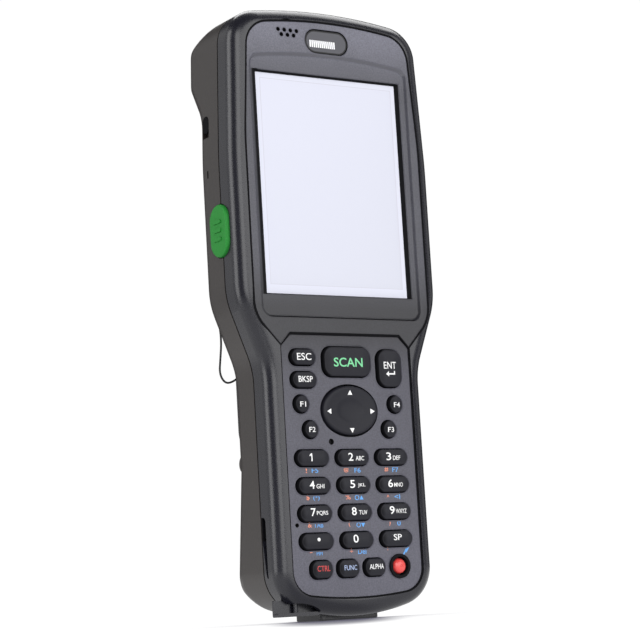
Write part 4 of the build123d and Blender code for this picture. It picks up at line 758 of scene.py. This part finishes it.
PLATE_PRINTS = (
    # words, middle x and z, width, height, ink
    ("!", -17.95, 48.4, 0.5, 1.7, "orange"),
    ("F5", -14.65, 48.35, 2.5, 1.6, "blue"),
    ("@", -2.6, 48.4, 1.8, 1.7, "orange"),
    ("F6", 1.85, 48.2, 2.4, 1.6, "blue"),
    ("#", 13.3, 48.3, 1.5, 1.6, "orange"),
    ("F7", 16.9, 48.2, 2.4, 1.6, "blue"),
    ("$", -17.95, 39.6, 1.2, 1.8, "orange"),
    ("(*)", -14.7, 39.4, 2.4, 1.8, "blue"),
    ("%", -2.45, 39.5, 1.9, 1.6, "orange"),
    ("O", 1.0, 39.25, 1.7, 1.7, "blue"),
    ("^", 13.3, 39.5, 0.9, 0.8, "orange"),
    ("<I", 17.0, 39.2, 2.2, 1.6, "blue"),
    ("&", -17.8, 30.8, 1.5, 1.6, "orange"),
    ("TAB", -14.5, 30.7, 3.6, 1.6, "blue"),
    ("(", -2.55, 30.7, 0.6, 1.8, "orange"),
    ("O", 1.0, 30.35, 1.7, 1.7, "blue"),
    (")", 13.35, 30.6, 0.6, 1.7, "orange"),
    ("0", 17.0, 30.45, 1.4, 1.6, "blue"),
    ("-", -17.9, 22.1, 1.0, 0.4, "orange"),
    ("H", -15.3, 21.75, 1.0, 1.5, "blue"),
    ("H", -14.1, 21.75, 1.0, 1.5, "blue"),
    ("*", -2.4, 22.1, 1.2, 1.3, "orange"),
    ("Del", 1.75, 21.7, 3.2, 1.7, "blue"),
    ("+", 11.9, 22.2, 1.0, 1.0, "orange"),
)


def plate_depth(x, z):
    """The depth of the keypad plate's face, the same everywhere."""
    return PLATE_FRONT


def key_surface(key):
    """The depth of one key's crown at points of the front view."""
    shape, key_x, key_z = KEYS[key]
    return lambda x, z: key_depth(key, inside_key(shape, x - key_x, z - key_z))


for number, (key, words, x, z, width, height, ink) in enumerate(KEY_PRINTS):
    bold = SCAN_BOLD if words == "SCAN" else DIGIT_BOLD if len(words) == 1 else WORD_BOLD
    name, surface = "print_%s_%d" % (key, number), key_surface(key)
    lettering(name, words, x, z, width, height, inks[ink], key, surface, bold)
for number, (words, x, z, width, height, ink) in enumerate(PLATE_PRINTS):
    name = "mark_%d" % number
    lettering(name, words, x, z, width, height, inks[ink], "root", plate_depth, WORD_BOLD)

# Marks drawn by their corners, each at the middle it is given
TRIANGLE = np.array([(-0.9, -0.75), (0.9, -0.75), (0.0, 0.85)])
NAV_ARROWS = ((0.1, 73.7), (-8.4, 67.5), (0.1, 61.2), (8.5, 67.5))
LEVEL_ARROWS, LEVEL_SHARE = ((2.75, 39.2, 1), (2.75, 30.3, -1)), 0.85
DIGIT_ONE = ((-0.6, 0.72), (0.12, 1.3), (0.42, 1.3), (0.42, -1.3), (0.02, -1.3), (0.02, 0.68), (-0.6, 0.3))
POINT_X, POINT_Z, POINT_R, POINT_SIDES = -15.55, 26.0, 0.58, 20
RETURN_ARROW = ((-1.8, 0), (-0.7, 0.9), (-0.7, 0.22), (1.35, 0.22), (1.35, 1.0), (1.8, 1.0))
RETURN_ARROW += ((1.8, -0.22), (-0.7, -0.22), (-0.7, -0.9))
SLASH, SLASHES = ((-0.6, -0.7), (-0.2, -1.0), (1.1, 0.9), (0.7, 1.2)), ((18.5, 21.0), (19.5, 21.7))
for number, middle in enumerate(NAV_ARROWS):
    cosine, sine = math.cos(number * math.pi / 2), math.sin(number * math.pi / 2)
    turned = TRIANGLE @ np.array([[cosine, sine], [-sine, cosine]])
    polygon_print("nav_arrow_%d" % number, turned + middle, inks["white"], "nav_pad", nav_depth)
for number, (x, z, way) in enumerate(LEVEL_ARROWS):
    small = TRIANGLE * (LEVEL_SHARE, LEVEL_SHARE * way)
    polygon_print("bright_arrow_%d" % number, small + (x, z), inks["blue"], "root", plate_depth)
digit_one = np.array(DIGIT_ONE) + (-16.7, 52.5)
polygon_print("print_key_1", digit_one, inks["white"], "key_1", key_surface("key_1"))
turn = np.linspace(0, 2 * np.pi, POINT_SIDES, endpoint=False)
dot = np.stack([POINT_X + POINT_R * np.cos(turn), POINT_Z + POINT_R * np.sin(turn)], axis=1)
polygon_print("print_point", dot, inks["white"], "key_point", key_surface("key_point"))
return_arrow = np.array(RETURN_ARROW) + (16.45, 80.0)
polygon_print("return_arrow", return_arrow, inks["white"], "key_enter", key_surface("key_enter"))
for number, middle in enumerate(SLASHES):
    slash = np.array(SLASH) + middle
    polygon_print("light_mark_%d" % number, slash, inks["blue"], "root", plate_depth)

# ---------------------------------------------------------------- side triggers
# Satin green mouldings with three grip ribs, on both sides of the head.
green = moulding("green moulding", (0.022, 0.205, 0.034), 0.45, 2200, 0.02, 0.1)
green.set(Specular_IOR_Level=0.12)
dress(green, "trigger_left", "trigger_right")

# ---------------------------------------------------------------- scanner window and dock contacts
scan_glass = Finish("dark red window", Base_Color=(0.09, 0.003, 0.006), Specular_IOR_Level=0.12)
scan_glass.set(Roughness=scan_glass.spread(scan_glass.noise(300), 0, 1, 0.12, 0.2))
dress(scan_glass, "scan_window")
gold = Finish("gold plate", Base_Color=(0.83, 0.6, 0.24), Metallic=1.0)
gold.set(Roughness=gold.spread(gold.noise(1500), 0, 1, 0.18, 0.34))
dress(gold, "dock_contacts")

# ---------------------------------------------------------------- stylus
# Black, in its sleeve on the strap.
stylus_black = moulding("stylus black", (0.02, 0.02, 0.022), 0.33, 2600, 0.01, 0.08, 0.2)
dress(stylus_black, "stylus")

# ---------------------------------------------------------------- inner parts
board_mask = moulding("solder mask", (0.015, 0.14, 0.05), 0.3, 900, 0.01, 0.2, 0.3)
dress(board_mask, "keypad_board", "main_board")
dress(light_metal, "lcd_module", "scan_engine", "earpiece", "microphone")
grey_sheet = moulding("grey silicone sheet", (0.2, 0.2, 0.21), 0.5, 1500, 0.01, 0.05)
dress(grey_sheet, "key_membrane")
wrap = moulding("cell wrap", (0.05, 0.06, 0.09), 0.3, 400, 0.01, 0.05, 0.3)
dress(wrap, "battery_pack")

# ---------------------------------------------------------------- hand strap and its pad
# Woven nylon: the weave is a twill relief across the band. The pad is a stuffed cushion.
THREAD, STRAP_W, SELVAGE, SELVAGE_DIMS = 1.4, 42.0, 3.0, 0.7
WEB_DARK, WEB_LIGHT = (0.008, 0.008, 0.009), (0.05, 0.05, 0.054)
webbing = Finish("woven nylon", Roughness=0.72, Sheen_Weight=0.25)
web_x, _, web_z = webbing.axes()
threads = 2 * math.pi / (THREAD * MM)
slant = ((web_x + web_z) * threads).math("SINE")
cross = ((web_x - web_z) * threads).math("SINE")
weave = webbing.spread(slant * cross, -1, 1)
selvage = abs(web_x) > (STRAP_W / 2 - SELVAGE) * MM
webbing.set(Base_Color=webbing.mix(weave * (1 - selvage * SELVAGE_DIMS), WEB_DARK, WEB_LIGHT))
webbing.bump(weave, 0.25 * MM)

# The band's middle line as depth and height: its upper half runs from the sewn lap round the upper
# bar, down to a bend and on; the lower half mirrors it.
STRAP_T, STRAP_D, STRAP_ROUND, BAR_D, BAR_WRAP, BEND_R = 1.6, 36.0, 0.6, 28.2, 2.15, 7.0
BAR_HIGH, BEND_HIGH, STRAP_MIDDLE, LAP, LAP_OPENS, RUN_ON = 134.0, 124.0, 93.5, 11.0, 0.6, 3.0
LAP_STEPS, WRAP_STEPS, BEND_STEPS = 12, 20, 8
slope = np.array([STRAP_D - BAR_D, BEND_HIGH - BAR_HIGH])
slope /= np.hypot(*slope)
outward = np.array([-slope[1], slope[0]])
bar = np.array([BAR_D, BAR_HIGH])
bend_out = bar + BAR_WRAP * outward  # where the band leaves the bar for the bend
lean = math.atan2(STRAP_D - bend_out[0], bend_out[1] - BEND_HIGH)
trim = BEND_R * math.tan(lean / 2)
run_down = np.array([math.sin(lean), -math.cos(lean)])
corner = np.array([STRAP_D, BEND_HIGH])
lift_way = np.array([-run_down[1], run_down[0]])
lap_line = []
for t in np.linspace(1, 0, LAP_STEPS)[:-1]:
    share = min(t / LAP_OPENS, 1)
    closing = 3 * share**2 - 2 * share**3
    apart = 2 * BAR_WRAP - (2 * BAR_WRAP - STRAP_T) * closing
    lap_line.append(bend_out + run_down * LAP * t - lift_way * apart)
wrap_start = math.atan2(-outward[1], -outward[0])
wrap_line = [
    bar + BAR_WRAP * np.array([math.cos(wrap_start - t), math.sin(wrap_start - t)])
    for t in np.linspace(0, math.pi, WRAP_STEPS)[1:]
]
bend_line = [
    corner + np.array([-BEND_R, -trim]) + BEND_R * np.array([math.cos(lean - t), math.sin(lean - t)])
    for t in np.linspace(0, lean, BEND_STEPS)
]
half_run = np.array(lap_line + wrap_line + [bend_out + run_down * RUN_ON] + bend_line)
middle_line = np.concatenate([half_run, (half_run * (1, -1) + (0, 2 * STRAP_MIDDLE))[::-1]])
ahead = np.gradient(middle_line, axis=0)
ahead /= np.hypot(ahead[:, 0], ahead[:, 1])[:, None]
across = np.stack([-ahead[:, 1], ahead[:, 0]], axis=1)
band_x, band_n = rounded_outline(STRAP_W, STRAP_T, STRAP_ROUND, arc=5)
band_points = [
    at_depth(band_x, middle[0] + band_n * side[0], middle[1] + band_n * side[1])
    for middle, side in zip(middle_line, across)
]
faces = ring_faces(len(band_points), len(band_x))
band = mesh_object("strap_band", np.concatenate(band_points), faces, webbing)
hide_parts("hand_strap")

# Rows of stitches that close the two laps
thread_grey = Finish("sewing thread", Base_Color=(0.16, 0.16, 0.17))
thread_grey.set(Roughness=thread_grey.spread(thread_grey.noise(3000), 0, 1, 0.5, 0.7))
STITCH_L, STITCH_W, STITCH_ROUND, STITCH_DEEP, STITCH_PROUD = 2.3, 0.5, 0.24, 0.2, 0.12
STITCHES, STITCH_SPAN, STITCH_ROWS = 13, 38.0, (3.4, 8.6)
ring_x, ring_s = rounded_outline(STITCH_L, STITCH_W, STITCH_ROUND, arc=3)
stitch_points, stitch_faces = [], []
for end in (1, -1):
    for row in STITCH_ROWS:
        for stitch in range(STITCHES):
            x = (stitch - (STITCHES - 1) / 2) * STITCH_SPAN / STITCHES
            stitch_faces += ring_faces(2, len(ring_x), len(stitch_points) * len(ring_x))
            for lift in (STRAP_T / 2 - STITCH_DEEP, STRAP_T / 2 + STITCH_PROUD):
                spot = bend_out + run_down * row + lift_way * lift
                z = spot[1] + run_down[1] * ring_s
                z = z if end > 0 else 2 * STRAP_MIDDLE - z
                stitch_points.append(at_depth(x + ring_x, spot[0] + run_down[0] * ring_s, z))
mesh_object("strap_stitches", np.concatenate(stitch_points), stitch_faces, thread_grey)

# The pad's rings run from its flat back over a rounded rim to its crown.
knit = Finish("knitted pad", Roughness=0.8, Sheen_Weight=0.3)
knit_loops = knit.noise(900, 2)
knit.set(Base_Color=knit.mix(knit_loops, (0.014, 0.014, 0.015), (0.034, 0.034, 0.037)))
knit.bump(knit_loops, 0.1 * MM)
PAD_W, PAD_H, PAD_Z, PAD_CORNER, PAD_OUT, PAD_IN, PAD_RIM = 38.0, 48.0, 92.0, 5.0, 35.2, 32.8, 0.5
PAD_SHOULDER, PAD_SHOULDER_RINGS, PAD_CROWN = 9.0, 12, (14.0, 18.9)
pad_insets = PAD_SHOULDER * (1 - np.cos(np.linspace(0, np.pi / 2, PAD_SHOULDER_RINGS)))
pad_points = []
for inset in [0, *pad_insets, *PAD_CROWN]:
    ring_x, ring_z = rounded_outline(PAD_W, PAD_H, PAD_CORNER, inset, arc=12)
    rise = 1 - (1 - min(inset / PAD_SHOULDER, 1.0)) ** 2
    depth = PAD_OUT
    if pad_points:
        depth -= PAD_RIM + (PAD_OUT - PAD_IN - PAD_RIM) * rise**0.8
    pad_points.append(at_depth(ring_x, depth, PAD_Z + ring_z))
faces = ring_faces(len(pad_points), len(ring_x))
cushion = mesh_object("strap_cushion", np.concatenate(pad_points), faces, knit)
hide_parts("strap_pad")

# ---------------------------------------------------------------- stylus tether
# A thin cord that hangs in a loop on the left, between two eyelets.
TETHER = (
    # x, depth, height
    (-28.0, 26.5, 112.0),
    (-28.0, 29.2, 112.0),
    (-29.4, 30.4, 106.5),
    (-29.8, 30.3, 100.5),
    (-29.6, 29.8, 94.5),
    (-30.3, 29.9, 88.5),
    (-30.8, 30.2, 83.4),
    (-28.6, 30.3, 80.2),
    (-25.4, 30.0, 81.0),
    (-21.6, 29.8, 84.0),
    (-17.0, 29.2, 86.4),
    (-17.0, 26.5, 86.4),
)
CORD_RADIUS, CORD_LENGTH = 0.35, 50.2
cord_black = Finish("braided cord", Roughness=0.7)
strands = cord_black.noise(2500, 2)
cord_black.set(Base_Color=cord_black.mix(strands, (0.008, 0.008, 0.009), (0.03, 0.03, 0.032)))
cord_black.bump(strands, 0.05 * MM)
tether_curve = bpy.data.curves.new("tether", "CURVE")
tether_curve.dimensions, tether_curve.use_fill_caps = "3D", True
tether_curve.bevel_depth, tether_curve.bevel_resolution = CORD_RADIUS * MM, 3
tether_run = tether_curve.splines.new("NURBS")
tether_run.points.add(len(TETHER) - 1)
for point, (x, depth, z) in zip(tether_run.points, TETHER):
    point.co = (x * MM, (PLATE_Y + depth) * MM, z * MM, 1)
tether_run.order_u, tether_run.use_endpoint_u, tether_run.resolution_u = 3, True, 12
tether = bpy.data.objects.new("tether", tether_curve)
bpy.context.collection.objects.link(tether)
dress(cord_black, tether)
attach(tether, "root")
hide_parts("tether_cord")
